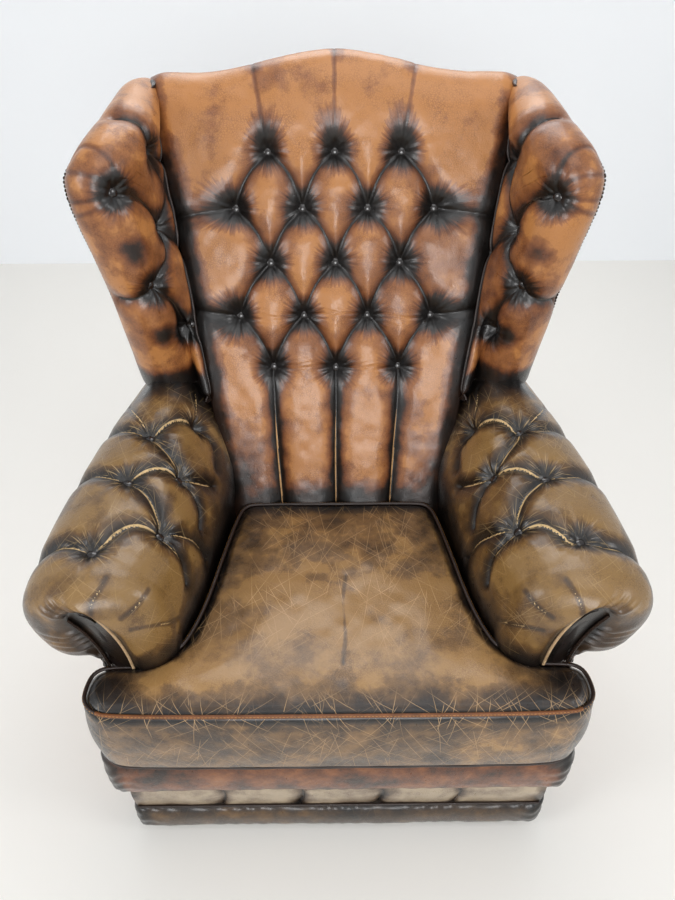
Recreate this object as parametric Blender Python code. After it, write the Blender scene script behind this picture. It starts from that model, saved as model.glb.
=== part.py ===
"""A buttoned leather wing chair with rolled arms and a loose T-shaped seat cushion.

Metres, +Z up. The sitter looks along -Y. Shapes are drawn in depths behind the front of
the base, and one empty shifts them so that the origin is under the middle of the chair.
"""

import math

import bmesh
import bpy
from mathutils import Vector

CLEAR = 0.0003              # running gap between pieces that touch
PANEL = 0.004               # leather on board, at the outside panels

WIDTH = 0.878               # over the arm rolls
HEIGHT = 1.085              # floor to the peak of the crest
BASE_WIDTH_FRONT = 0.704
BASE_WIDTH_BACK = 0.570
BASE_DEPTH = 0.600          # front of the base to the outside back, at the floor
BACK_TOP_DEPTH = 0.800      # the same at the crest, which leans back
CREST_ROLL_PROUD = 0.005    # the crest's roll behind the outside back
CREST_ARCH = 0.033          # rise of the crest's middle over its corners
CREST_ARCH_HALF = 0.22

GLIDE_HEIGHT = 0.012
GLIDE_RADIUS = 0.012
PANEL_FOOT = 0.018          # floor to the panels' lower edge
RAIL_FOOT = 0.030
DUST_COVER = 0.0015

SEAT_HEIGHT = 0.475         # floor to the cushion's front welt
CUSHION_THICK = 0.167
SEAT_SLOPE = 0.100          # fall of the seat towards the back, per metre
CUSHION_DEPTH = 0.405       # back edge of the cushion
CUSHION_FRONT = 0.033       # overhang before the base
CUSHION_BULGE = 0.004
EAR_PROUD = 0.010           # the cushion's ears beside the base
EAR_REAR = 0.056
EAR_REACH = 0.119           # from an ear's side to the arm's inner face behind it
COVER_THICK = 0.0015
ZIP_HALF_WIDTH = 0.12
ZIP_HALF_HEIGHT = 0.003
CUSHION_TO_ARM = 0.003

DECK_THICK = 0.012
SPRING_WIRE = 0.002         # radius
SPRING_SWING = 0.024
SPRING_BENDS = 11
SPRING_TURN = 0.65          # share of a bend's pitch at which its straight run begins
SPRING_END = 0.30           # share of a pitch that is left for the run to the rail
SPRING_SHIFT = 0.006
SPRING_GAP = 0.145
FRONT_RAIL_FACE = 0.032
FRONT_RAIL_THICK = 0.038
RAIL_THICK = 0.028
POST_SIDE = 0.040
ARM_POST_DEPTH = 0.045
ARM_POST_WIDTH = 0.050
CORNER_BLOCK = 0.050
CORNER_BLOCK_LOW = 0.150
CORNER_BLOCK_HIGH = 0.250

LOWER_ROLL_TOP = 0.086
UPPER_ROLL_HEIGHT = 0.110
LOWER_ROLL_HALF = 0.362
UPPER_ROLL_HALF = 0.374
ROLL_PROUD_LOWER = 0.003
ROLL_PROUD_UPPER = 0.018
BAND_RECESS = 0.008
ROLL_SQUARENESS = 0.6       # 1 is a half circle, less is squarer

ARM_HEIGHT = 0.635
ARM_RAIL_DROP = 0.135       # top of an arm to the foot of its rail
ARM_RAIL_THICK = 0.040
ARM_WIDEST = 0.100          # depth at which the arms are widest
ARM_ROLL_DROP = 0.150       # top of an arm to the underside of its roll
ARM_WRAP = 0.006            # padding below the arm rail
ARM_REAR_NARROWING = 0.075  # how much narrower an arm's outside is at the wing
ARM_SLAB = 0.070            # padding inside an arm
ARM_NOSE = 0.068
ARM_NOSE_BULGE = 0.020
FACING_FRONT = 0.0625

BACK_HALF_SEAT = 0.195
BACK_HALF_CREST = 0.299
BACK_CREST_DEPTH = 0.729    # face of the back at the crest's corners
CUSHION_TO_BACK = 0.004
BACK_RAIL_HEIGHT = 0.045
BACK_RAIL_DROP = 0.030      # the lower back rail's foot below the cushion's back edge
CREST_PADDING = 0.047       # over the crest rail

WING_INSET = 0.103          # the wings' outside at the arms, inside the arms' own
WING_SPREAD = 0.056         # how much further out it is at the wings' top
WING_TOE_IN = 0.250         # per metre of depth
WING_FRONT = 0.500
WING_ROLL = 0.095           # thickness of a wing's front edge
WING_TOP_ROUND = 0.030      # height over which a wing's outer side rounds in to its top
WING_EDGE = (               # fall below a wing's top, and depth behind its front
    (0.115, 0.000), (0.085, 0.003), (0.060, 0.012), (0.040, 0.028),
    (0.025, 0.052), (0.014, 0.090), (0.006, 0.140), (0.000, 0.200),
)
WING_LAP = 0.050            # how far before the back's face a wing may cover its edge
WING_NOSE_SHARE = 0.30      # share of a thin section's depth that its round front may take
WING_RAIL_HALF = 0.014
WING_RAIL_PLACE = 0.070     # depth of the wing's upright behind the wing's front
WING_RAIL_TOP = 0.110       # its shoulder below the wing's top
WING_RAIL_SHARE = 0.42      # how far into the front roll its shoulder stands
WING_RAIL_TILT = 0.8        # slant of the mitre at its shoulder
WING_RAIL_RISE = 0.012      # from its shoulder up to its turn
WING_RAIL_COVER = 0.008     # padding between it and the back's edge

BUTTON_RADIUS = 0.0095
BUTTON_DOME = 0.55          # a button's half thickness as a share of its radius
BUTTON_ROOM = 0.0015        # round a button at the bottom of its pit
BUTTON_PITCH_X = 0.109
BUTTON_PITCH_UP = 0.0885
BUTTON_ROW_ONE = 0.242      # up the face of the back, from the cushion
BUTTON_ROWS = (3, 4, 3, 4, 3)
BUTTON_PIT_DEPTH = 0.022
BUTTON_PIT_RADIUS = 0.024

MIDDLE_DEPTH = (BACK_TOP_DEPTH + CREST_ROLL_PROUD - CUSHION_FRONT - CUSHION_BULGE) / 2
BASE_TOP = SEAT_HEIGHT - CUSHION_THICK
ARM_RAIL_LOW = ARM_HEIGHT - ARM_RAIL_DROP
ARM_ROLL_LOW = ARM_HEIGHT - ARM_ROLL_DROP
CREST_CORNER = HEIGHT - CREST_ARCH
WING_TOP = CREST_CORNER - 0.002
WING_HALF_BOTTOM = WIDTH / 2 - WING_INSET
WING_FLARE = WING_SPREAD / (WING_TOP - ARM_HEIGHT)
KNEE = BASE_TOP             # height at which the back begins to lean
BACK_TOP = HEIGHT - 0.045
PANEL_TOP = CREST_CORNER - 0.062
CREST_RAIL_FOOT = PANEL_TOP - 0.015
CUSHION_BACK = SEAT_HEIGHT - SEAT_SLOPE * CUSHION_DEPTH
FRAME_INSET = PANEL + CLEAR
ARM_POST_FRONT = FRONT_RAIL_FACE + FRONT_RAIL_THICK + CLEAR
ARM_POST_REAR = ARM_POST_FRONT + ARM_POST_DEPTH
FAR = 2.0                   # past everything, for cutters

chair = bpy.data.collections.new("buttoned_wing_chair")
cutters = bpy.data.collections.new("cutters")


def material(name, colour, roughness, metallic=0.0):
    """A Principled material. The colour is sRGB, as six hex digits."""
    made = bpy.data.materials.new(name)
    made.use_nodes = True
    shader = made.node_tree.nodes["Principled BSDF"]
    parts = [int(colour[i:i + 2], 16) / 255 for i in (0, 2, 4)]
    linear = [p / 12.92 if p <= 0.04045 else ((p + 0.055) / 1.055) ** 2.4 for p in parts]
    shader.inputs["Base Color"].default_value = (*linear, 1.0)
    shader.inputs["Roughness"].default_value = roughness
    shader.inputs["Metallic"].default_value = metallic
    made.diffuse_color = (*linear, 1.0)
    return made


def start():
    for obj in list(bpy.data.objects):
        bpy.data.objects.remove(obj, do_unlink=True)
    bpy.context.scene.collection.children.link(chair)
    bpy.context.scene.collection.children.link(cutters)
    origin = bpy.data.objects.new("chair_origin", None)
    origin.location = (0.0, -MIDDLE_DEPTH, 0.0)
    chair.objects.link(origin)


def put(name, bm, finish, side=1):
    """The mesh as a piece of the chair, or as a cutter where finish is None."""
    if side < 0:
        bmesh.ops.scale(bm, vec=(-1, 1, 1), verts=bm.verts)
    bmesh.ops.recalc_face_normals(bm, faces=bm.faces)
    mesh = bpy.data.meshes.new(name)
    bm.to_mesh(mesh)
    bm.free()
    obj = bpy.data.objects.new(name, mesh)
    obj.parent = chair.objects["chair_origin"]
    if finish is None:
        cutters.objects.link(obj)
        obj.hide_render = True
        obj.display_type = "WIRE"
    else:
        mesh.materials.append(finish)
        chair.objects.link(obj)
    return obj


def smooth(obj, degrees=35.0):
    obj.data.shade_smooth()
    obj.data.set_sharp_from_angle(angle=math.radians(degrees))


def cut(obj, *tools):
    for tool in tools:
        boolean = obj.modifiers.new(tool.name, "BOOLEAN")
        boolean.operation = "DIFFERENCE"
        boolean.solver = "EXACT"
        boolean.object = tool


def value(limit, *at):
    return limit(*at) if callable(limit) else limit


def slab(x, y, z, grow=0.0):
    """A board between two limits each way: z may vary with y, y with z, and x with both."""
    bm = bmesh.new()
    bmesh.ops.create_cube(bm, size=2.0)
    for vertex in bm.verts:
        ends = [0 if c < 0 else 1 for c in vertex.co]
        moves = [grow * (2 * e - 1) for e in ends]
        deep = value(y[ends[1]], 0.5)
        for _ in range(6):
            high = value(z[ends[2]], deep)
            deep = value(y[ends[1]], high)
        wide = value(x[ends[0]], deep, high)
        vertex.co = Vector((wide + moves[0], deep + moves[1], high + moves[2]))
    return bm


def loft(rings):
    """A closed body through rings of points, with its first and last ring as ends."""
    bm = bmesh.new()
    rows = [[bm.verts.new(point) for point in ring] for ring in rings]
    count = len(rows[0])
    for low, high in zip(rows, rows[1:]):
        for i in range(count):
            bm.faces.new((low[i], low[(i + 1) % count], high[(i + 1) % count], high[i]))
    bm.faces.new(rows[0][::-1])
    bm.faces.new(rows[-1])
    bmesh.ops.recalc_face_normals(bm, faces=bm.faces)
    bmesh.ops.triangulate(bm, faces=bm.faces)
    return bm


def plate(outline, outer, thick):
    """A panel whose outline is in depth and height, and whose outer face lies at x = outer."""
    return loft([
        [(outer(y, z) - inset, y, z) for y, z in outline] for inset in (0.0, thick)
    ])


def bar(stations, grow=0.0):
    """A bar of rectangular section through stations of (centre, half across, half along)."""
    rings = []
    last = len(stations) - 1
    for i, (centre, across, along) in enumerate(stations):
        centre = Vector(centre)
        if i in (0, last):
            neighbour = Vector(stations[1 if i == 0 else last - 1][0])
            centre += (centre - neighbour).normalized() * grow
        a = Vector(across)
        b = Vector(along)
        a += a.normalized() * grow
        b += b.normalized() * grow
        rings.append([centre - a - b, centre + a - b, centre + a + b, centre - a + b])
    return loft(rings)


def between(table, at):
    """The value at this place in a table of (place, value), in straight steps."""
    for (a, low), (b, high) in zip(table, table[1:]):
        if at <= b:
            return low + (high - low) * max(at - a, 0.0) / (b - a)
    return table[-1][1]


def side_x(y, z=0.0):
    """The outer face of the side panels."""
    share = min(y / BASE_DEPTH, 1.0)
    return (BASE_WIDTH_FRONT + (BASE_WIDTH_BACK - BASE_WIDTH_FRONT) * share) / 2


def frame_side(y, z=0.0):
    return side_x(y) - FRAME_INSET


def outside_back(z):
    lean = (BACK_TOP_DEPTH - BASE_DEPTH) / (BACK_TOP - KNEE)
    return BASE_DEPTH + lean * max(z - KNEE, 0.0)


def post_rear(z):
    return outside_back(z) - FRAME_INSET


def post_front(z):
    return post_rear(z) - POST_SIDE


def back_face(z):
    lean = (BACK_CREST_DEPTH - CUSHION_DEPTH) / (CREST_CORNER - CUSHION_BACK)
    return CUSHION_DEPTH + lean * (z - CUSHION_BACK)


def back_half(z):
    share = (z - CUSHION_BACK) / (CREST_CORNER - CUSHION_BACK)
    return BACK_HALF_SEAT + (BACK_HALF_CREST - BACK_HALF_SEAT) * share


def crest_height(x):
    share = min(abs(x) / CREST_ARCH_HALF, 1.0)
    return CREST_CORNER + CREST_ARCH * math.cos(math.pi / 2 * share) ** 2


def deck_top(y):
    return BASE_TOP - 0.003 - SEAT_SLOPE * y


def spring_z(y):
    return deck_top(y) - DECK_THICK - CLEAR - SPRING_WIRE


def rail_top(y):
    return spring_z(y) - SPRING_WIRE - CLEAR


def wing_x(y, z):
    """The outer face of the outside wings."""
    flare = WING_FLARE * (z - ARM_HEIGHT)
    return WING_HALF_BOTTOM + flare - WING_TOE_IN * (y - WING_FRONT - 0.030)


def cushion_side():
    """The cushion's side behind its ears, as (depth, half width)."""
    ear = BASE_WIDTH_FRONT / 2 + EAR_PROUD
    shoulder = ear - EAR_REACH
    narrow = BACK_HALF_SEAT
    taper = shoulder - narrow
    return (
        (EAR_REAR, ear - 0.026),
        (EAR_REAR + 0.001, ear - 0.072),
        (EAR_REAR + 0.010, ear - 0.097),
        (EAR_REAR + 0.028, shoulder),
        (0.100, narrow + 0.75 * taper),
        (0.146, narrow + 0.44 * taper),
        (0.200, narrow + 0.21 * taper),
        (0.270, narrow),
        (CUSHION_DEPTH - 0.030, narrow - 0.018),
        (CUSHION_DEPTH, narrow - 0.021),
    )


def cushion_half(depth):
    return between(cushion_side(), depth)


def cushion_outline(inset):
    """The cushion's T-shaped outline, drawn in by the inset."""
    ear = BASE_WIDTH_FRONT / 2 + EAR_PROUD
    front = -CUSHION_FRONT
    right = [
        (0.0, front),
        (ear * 0.5, front),
        (ear - 0.045, front + 0.002),
        (ear - 0.018, front + 0.010),
        (ear - 0.004, front + 0.026),
        (ear, 0.008),
        (ear - 0.002, 0.034),
        (ear - 0.010, EAR_REAR - 0.007),
    ]
    right += [(half, depth) for depth, half in cushion_side()[:-1]]
    right += [
        (cushion_half(CUSHION_DEPTH) - 0.010, CUSHION_DEPTH - 0.005),
        (cushion_half(CUSHION_DEPTH) - 0.030, CUSHION_DEPTH),
        (0.0, CUSHION_DEPTH),
    ]
    loop = right + [(-x, y) for x, y in right[-2:0:-1]]
    moved = []
    for i, (x, y) in enumerate(loop):
        before = Vector(loop[i - 1])
        after = Vector(loop[(i + 1) % len(loop)])
        run = (after - before).normalized()
        moved.append((x - run.y * inset, y + run.x * inset))
    return moved


def cushion_body(inset):
    """The cushion as rings from its bottom to its top, all drawn in by the inset."""
    bulge = CUSHION_BULGE
    levels = (
        (0.0 + inset, 0.012),
        (0.010, 0.0),
        (CUSHION_THICK * 0.5, -bulge),
        (CUSHION_THICK - 0.014, 0.0),
        (CUSHION_THICK - inset, 0.014),
    )
    bottom = BASE_TOP + CLEAR
    rings = []
    for up, extra in levels:
        ring = cushion_outline(inset + extra)
        rings.append([(x, y, bottom + up - SEAT_SLOPE * y) for x, y in ring])
    return loft(rings)


def add_seat_cushion(leather, foam):
    """A foam core in a leather cover, whose zip at the back is left open."""
    core = put("seat_cushion_core", cushion_body(COVER_THICK + CLEAR), foam)
    smooth(core)
    cover = put("seat_cushion_cover", cushion_body(0.0), leather)
    smooth(cover)
    hollow = put("cushion_hollow", cushion_body(COVER_THICK), None)
    middle = BASE_TOP + CLEAR + CUSHION_THICK / 2 - SEAT_SLOPE * CUSHION_DEPTH
    slot = put("zip_slot", slab(
        (-ZIP_HALF_WIDTH, ZIP_HALF_WIDTH),
        (CUSHION_DEPTH - 0.010, CUSHION_DEPTH + 0.020),
        (middle - ZIP_HALF_HEIGHT, middle + ZIP_HALF_HEIGHT),
    ), None)
    cut(cover, hollow, slot)


def arm_post(grow=0.0):
    return slab(
        (lambda y, z: frame_side(y) - ARM_POST_WIDTH, frame_side),
        (ARM_POST_FRONT, ARM_POST_REAR),
        (GLIDE_HEIGHT + CLEAR, ARM_RAIL_LOW - CLEAR),
        grow,
    )


def arm_rail(grow=0.0):
    return slab(
        (lambda y, z: frame_side(y) - ARM_POST_WIDTH, frame_side),
        (ARM_POST_FRONT, lambda z: post_front(z) - CLEAR),
        (ARM_RAIL_LOW, ARM_RAIL_LOW + ARM_RAIL_THICK),
        grow,
    )


def back_post(grow=0.0):
    """A back post, upright to the seat and leaning back above it."""
    rings = []
    top = CREST_RAIL_FOOT - CLEAR
    for z in (GLIDE_HEIGHT + CLEAR - grow, KNEE, top + grow):
        outer = frame_side(BASE_DEPTH) + grow
        inner = frame_side(BASE_DEPTH) - POST_SIDE - grow
        low = post_front(z) - grow
        high = post_rear(z) + grow
        rings.append([(inner, low, z), (outer, low, z), (outer, high, z), (inner, high, z)])
    return loft(rings)


def wing_rail(grow=0.0):
    """The wing's upright, on the arm rail, with its top turned back and in to the post."""
    foot = WING_FRONT + WING_RAIL_PLACE
    shoulder = WING_TOP - WING_RAIL_TOP
    foot_x = frame_side(foot) - ARM_POST_WIDTH / 2
    top_x = wing_x(foot, shoulder) - FRAME_INSET - WING_ROLL * WING_RAIL_SHARE
    end_x = frame_side(BASE_DEPTH) - POST_SIDE / 2
    h = WING_RAIL_HALF
    end_z = shoulder + WING_RAIL_RISE
    turn_x = back_half(end_z) + h + WING_RAIL_COVER
    turn_y = back_face(end_z) + h + WING_RAIL_COVER
    return bar([
        ((foot_x, foot, ARM_RAIL_LOW + ARM_RAIL_THICK + CLEAR), (h, 0, 0), (0, h, 0)),
        ((top_x, foot, shoulder), (h, 0, 0), (0, h, -h * WING_RAIL_TILT)),
        ((turn_x, turn_y, end_z), (h, 0, 0), (0, 0, -h)),
        ((end_x, post_front(end_z - h) - 2 * CLEAR, end_z), (h, 0, 0), (0, 0, -h)),
    ], grow)


def crest_rail(grow=0.0):
    """The arched rail that joins the tops of the posts."""
    half = frame_side(BASE_DEPTH) + grow
    low = CREST_RAIL_FOOT - grow
    front = post_front(PANEL_TOP) - grow
    rear = post_rear(CREST_RAIL_FOOT) + grow
    rings = []
    for step in range(-4, 5):
        x = half * step / 4
        high = crest_height(x) - CREST_PADDING + grow
        rings.append([(x, front, low), (x, rear, low), (x, rear, high), (x, front, high)])
    return loft(rings)


def add_frame(beech):
    """Rails, posts and blocks of the beech frame."""
    inner_front = frame_side(ARM_POST_FRONT) - ARM_POST_WIDTH
    inner_back = frame_side(BASE_DEPTH) - POST_SIDE
    put("seat_rail_front", slab(
        (lambda y, z: -frame_side(y), frame_side),
        (FRONT_RAIL_FACE, FRONT_RAIL_FACE + FRONT_RAIL_THICK),
        (RAIL_FOOT, rail_top),
    ), beech)
    put("seat_rail_back", slab(
        (-inner_back + CLEAR, inner_back - CLEAR),
        (post_front(0), post_rear(0)),
        (RAIL_FOOT, rail_top),
    ), beech)
    put("back_rail_lower", slab(
        (-inner_back + CLEAR, inner_back - CLEAR),
        (post_front, post_rear),
        (CUSHION_BACK - BACK_RAIL_DROP, CUSHION_BACK - BACK_RAIL_DROP + BACK_RAIL_HEIGHT),
    ), beech)
    put("crest_rail", crest_rail(), beech)
    for side, hand in ((-1, "left"), (1, "right")):
        put("seat_rail_" + hand, slab(
            (lambda y, z: frame_side(y) - RAIL_THICK, frame_side),
            (ARM_POST_REAR + CLEAR, post_front(0) - CLEAR),
            (RAIL_FOOT, rail_top),
        ), beech, side)
        put("corner_block_" + hand, slab(
            (inner_front - CORNER_BLOCK, lambda y, z: frame_side(y) - ARM_POST_WIDTH - CLEAR),
            (ARM_POST_FRONT, ARM_POST_REAR),
            (CORNER_BLOCK_LOW, CORNER_BLOCK_HIGH),
        ), beech, side)
        put("arm_post_" + hand, arm_post(), beech, side)
        put("arm_rail_" + hand, arm_rail(), beech, side)
        put("back_post_" + hand, back_post(), beech, side)
        put("wing_rail_" + hand, wing_rail(), beech, side)


def add_springs(steel):
    """Zigzag springs from the front seat rail to the back one, under the deck."""
    front = FRONT_RAIL_FACE + FRONT_RAIL_THICK / 2
    rear = (post_front(0) + post_rear(0)) / 2
    for index in range(3):
        middle = (index - 1) * SPRING_GAP
        curve = bpy.data.curves.new("seat_spring", "CURVE")
        curve.dimensions = "3D"
        curve.bevel_depth = SPRING_WIRE
        curve.bevel_resolution = 1
        curve.use_fill_caps = True
        spline = curve.splines.new("POLY")
        points = [(middle, front)]
        for bend in range(SPRING_BENDS):
            swing = SPRING_SWING * (1 if bend % 2 else -1)
            reach = rear - front
            a = front + reach * (bend + SPRING_TURN) / (SPRING_BENDS + SPRING_END)
            b = front + reach * (bend + 1) / (SPRING_BENDS + SPRING_END)
            points += [(middle + swing, a - SPRING_SHIFT), (middle + swing, b - SPRING_SHIFT)]
        points.append((middle, rear))
        spline.points.add(len(points) - 1)
        for point, (x, y) in zip(spline.points, points):
            point.co = (x, y, spring_z(y), 1.0)
        spring = bpy.data.objects.new("seat_spring_%d" % (index + 1), curve)
        spring.parent = chair.objects["chair_origin"]
        curve.materials.append(steel)
        chair.objects.link(spring)


def add_deck(hessian, tools):
    deck = put("seat_deck", slab(
        (lambda y, z: -frame_side(y), frame_side),
        (FRONT_RAIL_FACE, post_rear(0)),
        (lambda y: deck_top(y) - DECK_THICK, deck_top),
    ), hessian)
    cut(deck, *tools)


def arm_inner(y, z):
    """The inner face of an arm: the cushion's side, leaning out with the back's edge."""
    lean = (BACK_HALF_CREST - BACK_HALF_SEAT) / (CREST_CORNER - CUSHION_BACK)
    share = min(max((y - 0.15) / 0.30, 0.0), 1.0)
    face = cushion_half(min(y, CUSHION_DEPTH)) + CUSHION_BULGE + CUSHION_TO_ARM
    return face + lean * share * max(z - CUSHION_BACK, 0.0)


def arm_outer(y):
    share = max(y - ARM_WIDEST, 0.0) / (WING_FRONT - ARM_WIDEST)
    return WIDTH / 2 - ARM_REAR_NARROWING * min(share, 1.4) ** 1.6


def arm_section(y, foot):
    """An arm's section at this depth: a slab inside, and the roll over the arm rail."""
    low = arm_inner(y, foot)
    mid = arm_inner(y, ARM_RAIL_LOW)
    top = arm_inner(y, ARM_HEIGHT)
    out = arm_outer(y)
    middle = (top + out) / 2
    seat = ARM_RAIL_LOW - ARM_WRAP
    rail_inner = frame_side(y) - ARM_POST_WIDTH
    return [
        (low, foot),
        (mid, seat),
        (top + 0.010, ARM_HEIGHT - 0.060),
        (top + 0.035, ARM_HEIGHT - 0.022),
        (middle - 0.020, ARM_HEIGHT - 0.003),
        (middle + 0.020, ARM_HEIGHT),
        (out - 0.045, ARM_HEIGHT - 0.012),
        (out - 0.012, ARM_HEIGHT - 0.038),
        (out, ARM_HEIGHT - 0.068),
        (out - 0.006, ARM_HEIGHT - 0.108),
        (out - 0.022, ARM_ROLL_LOW + 0.008),
        (out - 0.040, ARM_ROLL_LOW),
        (side_x(y) + 0.002, seat),
        (min(mid + ARM_SLAB, rail_inner + 0.010), seat),
        (min(low + ARM_SLAB, rail_inner + 0.010), foot),
    ]


def arm_body():
    """The arm's padding, from its rounded nose to the outside back."""
    turn = EAR_REAR + 0.028
    depths = (ARM_NOSE, turn, 0.100, 0.146, 0.200, 0.270, 0.345, 0.410, 0.480, 0.550)
    draws = {ARM_NOSE: 0.86, turn: 0.95}
    centre_z = (ARM_HEIGHT + ARM_ROLL_LOW) / 2
    rings = []
    for y in depths:
        draw = draws.get(y, 1.0)
        ring = []
        for x, z in arm_section(y, deck_top(y) + CLEAR):
            inner = arm_inner(y, z)
            if z > ARM_RAIL_LOW or x > side_x(y):
                centre_x = (inner + arm_outer(y)) / 2
                x = centre_x + (x - centre_x) * draw
                z = centre_z + (z - centre_z) * draw
                x = max(x, inner)
            nose = min(max((z - ARM_RAIL_LOW) / 0.06, 0.0), 1.0)
            fade = max(0.0, 1 - (y - ARM_NOSE) / 0.08)
            deep = y - ARM_NOSE_BULGE * nose * fade
            ring.append((x, deep if nose > 0 or x > side_x(y) else max(y, ARM_POST_FRONT), z))
        rings.append(ring)
    behind = post_front(0) - CLEAR
    foot = deck_top(behind) + CLEAR
    inside = [(x, behind, z) for x, z in arm_section(behind, foot)]
    outside = [(x, post_rear(z), z) for x, z in arm_section(BASE_DEPTH, foot)]
    beside_post = frame_side(behind)
    rings.append([
        a if a[2] < ARM_RAIL_LOW and a[0] < beside_post else b
        for a, b in zip(inside, outside)
    ])
    return loft(rings)


def facing():
    """The strip down the front of an arm's post, from its curl to the cushion's ear."""
    inner = frame_side(ARM_POST_FRONT) - ARM_POST_WIDTH
    outer = frame_side
    return slab(
        (lambda y, z: inner + 0.006 * (z - BASE_TOP) / (ARM_RAIL_LOW - BASE_TOP), outer),
        (FACING_FRONT, ARM_POST_FRONT - CLEAR),
        (BASE_TOP + 0.002, ARM_RAIL_LOW - ARM_WRAP - CLEAR),
    )


def wing_section(z):
    """A wing's section at this height: a round front edge, and a web back to the post."""
    front = WING_FRONT + between([(WING_TOP - fall, deep) for fall, deep in WING_EDGE], z)
    rear = post_rear(z)
    radius = min(WING_ROLL / 2, (rear - front) * WING_NOSE_SHARE)
    turned = max(1 - (WING_TOP - z) / WING_TOP_ROUND, 0.0)
    drawn_in = WING_TOP_ROUND * (1 - math.sqrt(1 - turned ** 2))
    outer = wing_x(front + radius, z) - FRAME_INSET - drawn_in
    inner = back_half(z) + 2 * CLEAR
    face = back_face(z)
    reach = max(face - front - radius - WING_LAP, 0.0)
    half = min(WING_ROLL, outer - inner + 2 * reach) / 2
    points = [(wing_x(rear, z) - FRAME_INSET - drawn_in, rear)]
    for step in range(5):
        turn = math.pi * step / 4
        points.append((
            outer - half + half * math.cos(turn),
            front + radius - radius * math.sin(turn),
        ))
    points.append((inner, max(min(face, rear - 0.020), front + radius + 0.004)))
    points.append((inner, rear))
    return [(x, y, z) for x, y in points]


def wing_body():
    low = ARM_HEIGHT + CLEAR
    straight = WING_TOP - WING_EDGE[0][0]
    levels = [low + (straight - low) * i / 4 for i in range(4)]
    levels += [WING_TOP - fall for fall, _ in WING_EDGE]
    return loft([wing_section(z) for z in levels])


def back_profile(u):
    """The back's side view at this share of its half width, from seat to crest and round."""
    foot = deck_top(CUSHION_DEPTH) + CLEAR
    seat = CUSHION_BACK + 0.006
    top = crest_height(u * BACK_HALF_CREST)
    rear = BACK_TOP_DEPTH
    lip = PANEL_TOP + CLEAR
    points = [(CUSHION_DEPTH + CUSHION_TO_BACK, foot)]
    rise = top - 0.045 - seat
    for step in range(5):
        z = seat + rise * step / 4
        points.append((back_face(z) + CUSHION_TO_BACK, z))
    for round_off, drop in ((0.002, 0.025), (0.010, 0.009), (0.026, 0.0)):
        points.append((back_face(top - drop) + CUSHION_TO_BACK + round_off, top - drop))
    points += [
        (rear - 0.018, top - 0.004),
        (rear, top - 0.024),
        (rear + CREST_ROLL_PROUD, top - 0.050),
        (outside_back(lip), lip),
        (post_front(lip) - CLEAR, lip),
        (post_front(KNEE) - CLEAR, KNEE),
        (post_front(foot) - CLEAR, deck_top(post_front(0)) + CLEAR),
    ]
    return [(u * back_half(z), y, z) for y, z in points]


def back_body():
    return loft([back_profile(u) for u in (-1, -0.72, -0.48, -0.24, 0, 0.24, 0.48, 0.72, 1)])


def back_bay():
    """The room that the back's padding fills, for cutting what stands beside it."""
    return slab(
        (lambda y, z: -back_half(z) - CLEAR, lambda y, z: back_half(z) + CLEAR),
        (lambda z: back_face(z) + CUSHION_TO_BACK - CLEAR, FAR),
        (0.0, FAR),
    )


def button_places():
    """Each button's name, place across the back, and place on the line of its face."""
    slope = math.atan2(back_face(1.0) - back_face(0.0), 1.0)
    for row, count in enumerate(BUTTON_ROWS):
        up = BUTTON_ROW_ONE + BUTTON_PITCH_UP * (len(BUTTON_ROWS) - 1 - row)
        z = CUSHION_BACK + up * math.cos(slope)
        for index in range(count):
            x = BUTTON_PITCH_X * (index - (count - 1) / 2)
            yield "back_button_%d_%d" % (row + 1, index + 1), x, z, slope


def add_back(leather, polished, tools):
    """The buttoned back, with a pit at each button."""
    back = put("back_padding", back_body(), leather)
    pits = bmesh.new()
    dome = BUTTON_RADIUS * BUTTON_DOME
    for name, x, z, slope in button_places():
        normal = Vector((0, -math.cos(slope), math.sin(slope)))
        face = Vector((x, back_face(z) + CUSHION_TO_BACK, z))
        turn = normal.to_track_quat("Z", "Y").to_matrix().to_4x4()
        made = bmesh.ops.create_cone(
            pits, cap_ends=True, segments=10,
            radius1=BUTTON_RADIUS + BUTTON_ROOM,
            radius2=BUTTON_PIT_RADIUS, depth=2 * BUTTON_PIT_DEPTH,
        )
        bmesh.ops.transform(pits, matrix=turn, verts=made["verts"])
        bmesh.ops.translate(pits, vec=face, verts=made["verts"])
        button = bmesh.new()
        bmesh.ops.create_uvsphere(button, u_segments=10, v_segments=6, radius=BUTTON_RADIUS)
        bmesh.ops.scale(button, vec=(1, 1, BUTTON_DOME), verts=button.verts)
        bmesh.ops.transform(button, matrix=turn, verts=button.verts)
        bottom = face - normal * (BUTTON_PIT_DEPTH - CLEAR - dome)
        bmesh.ops.translate(button, vec=bottom, verts=button.verts)
        smooth(put(name, button, polished))
    cut(back, put("button_pits", pits, None), *tools)


def roll(half, front, rear, low, high):
    """A padded roll across the front of the base, with rounded ends."""
    right = ((0.955, 1.0), (0.985, 0.75), (1.0, 0.25))      # place across, share of the swell
    stations = [(-u, swell) for u, swell in right[::-1]] + [(0.0, 1.0), *right]
    middle = (low + high) / 2
    rings = []
    for u, swell in stations:
        x = u * half
        out = (rear - front) * swell
        ring = [(x, rear, low), (x, rear, high)]
        for step in range(5):
            turn = math.pi / 2 - math.pi * (step + 0.5) / 5
            fall = (high - low) / 2 * math.sin(turn)
            ring.append((x, rear - out * math.cos(turn) ** ROLL_SQUARENESS, middle + fall))
        rings.append(ring)
    return loft(rings)


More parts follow.
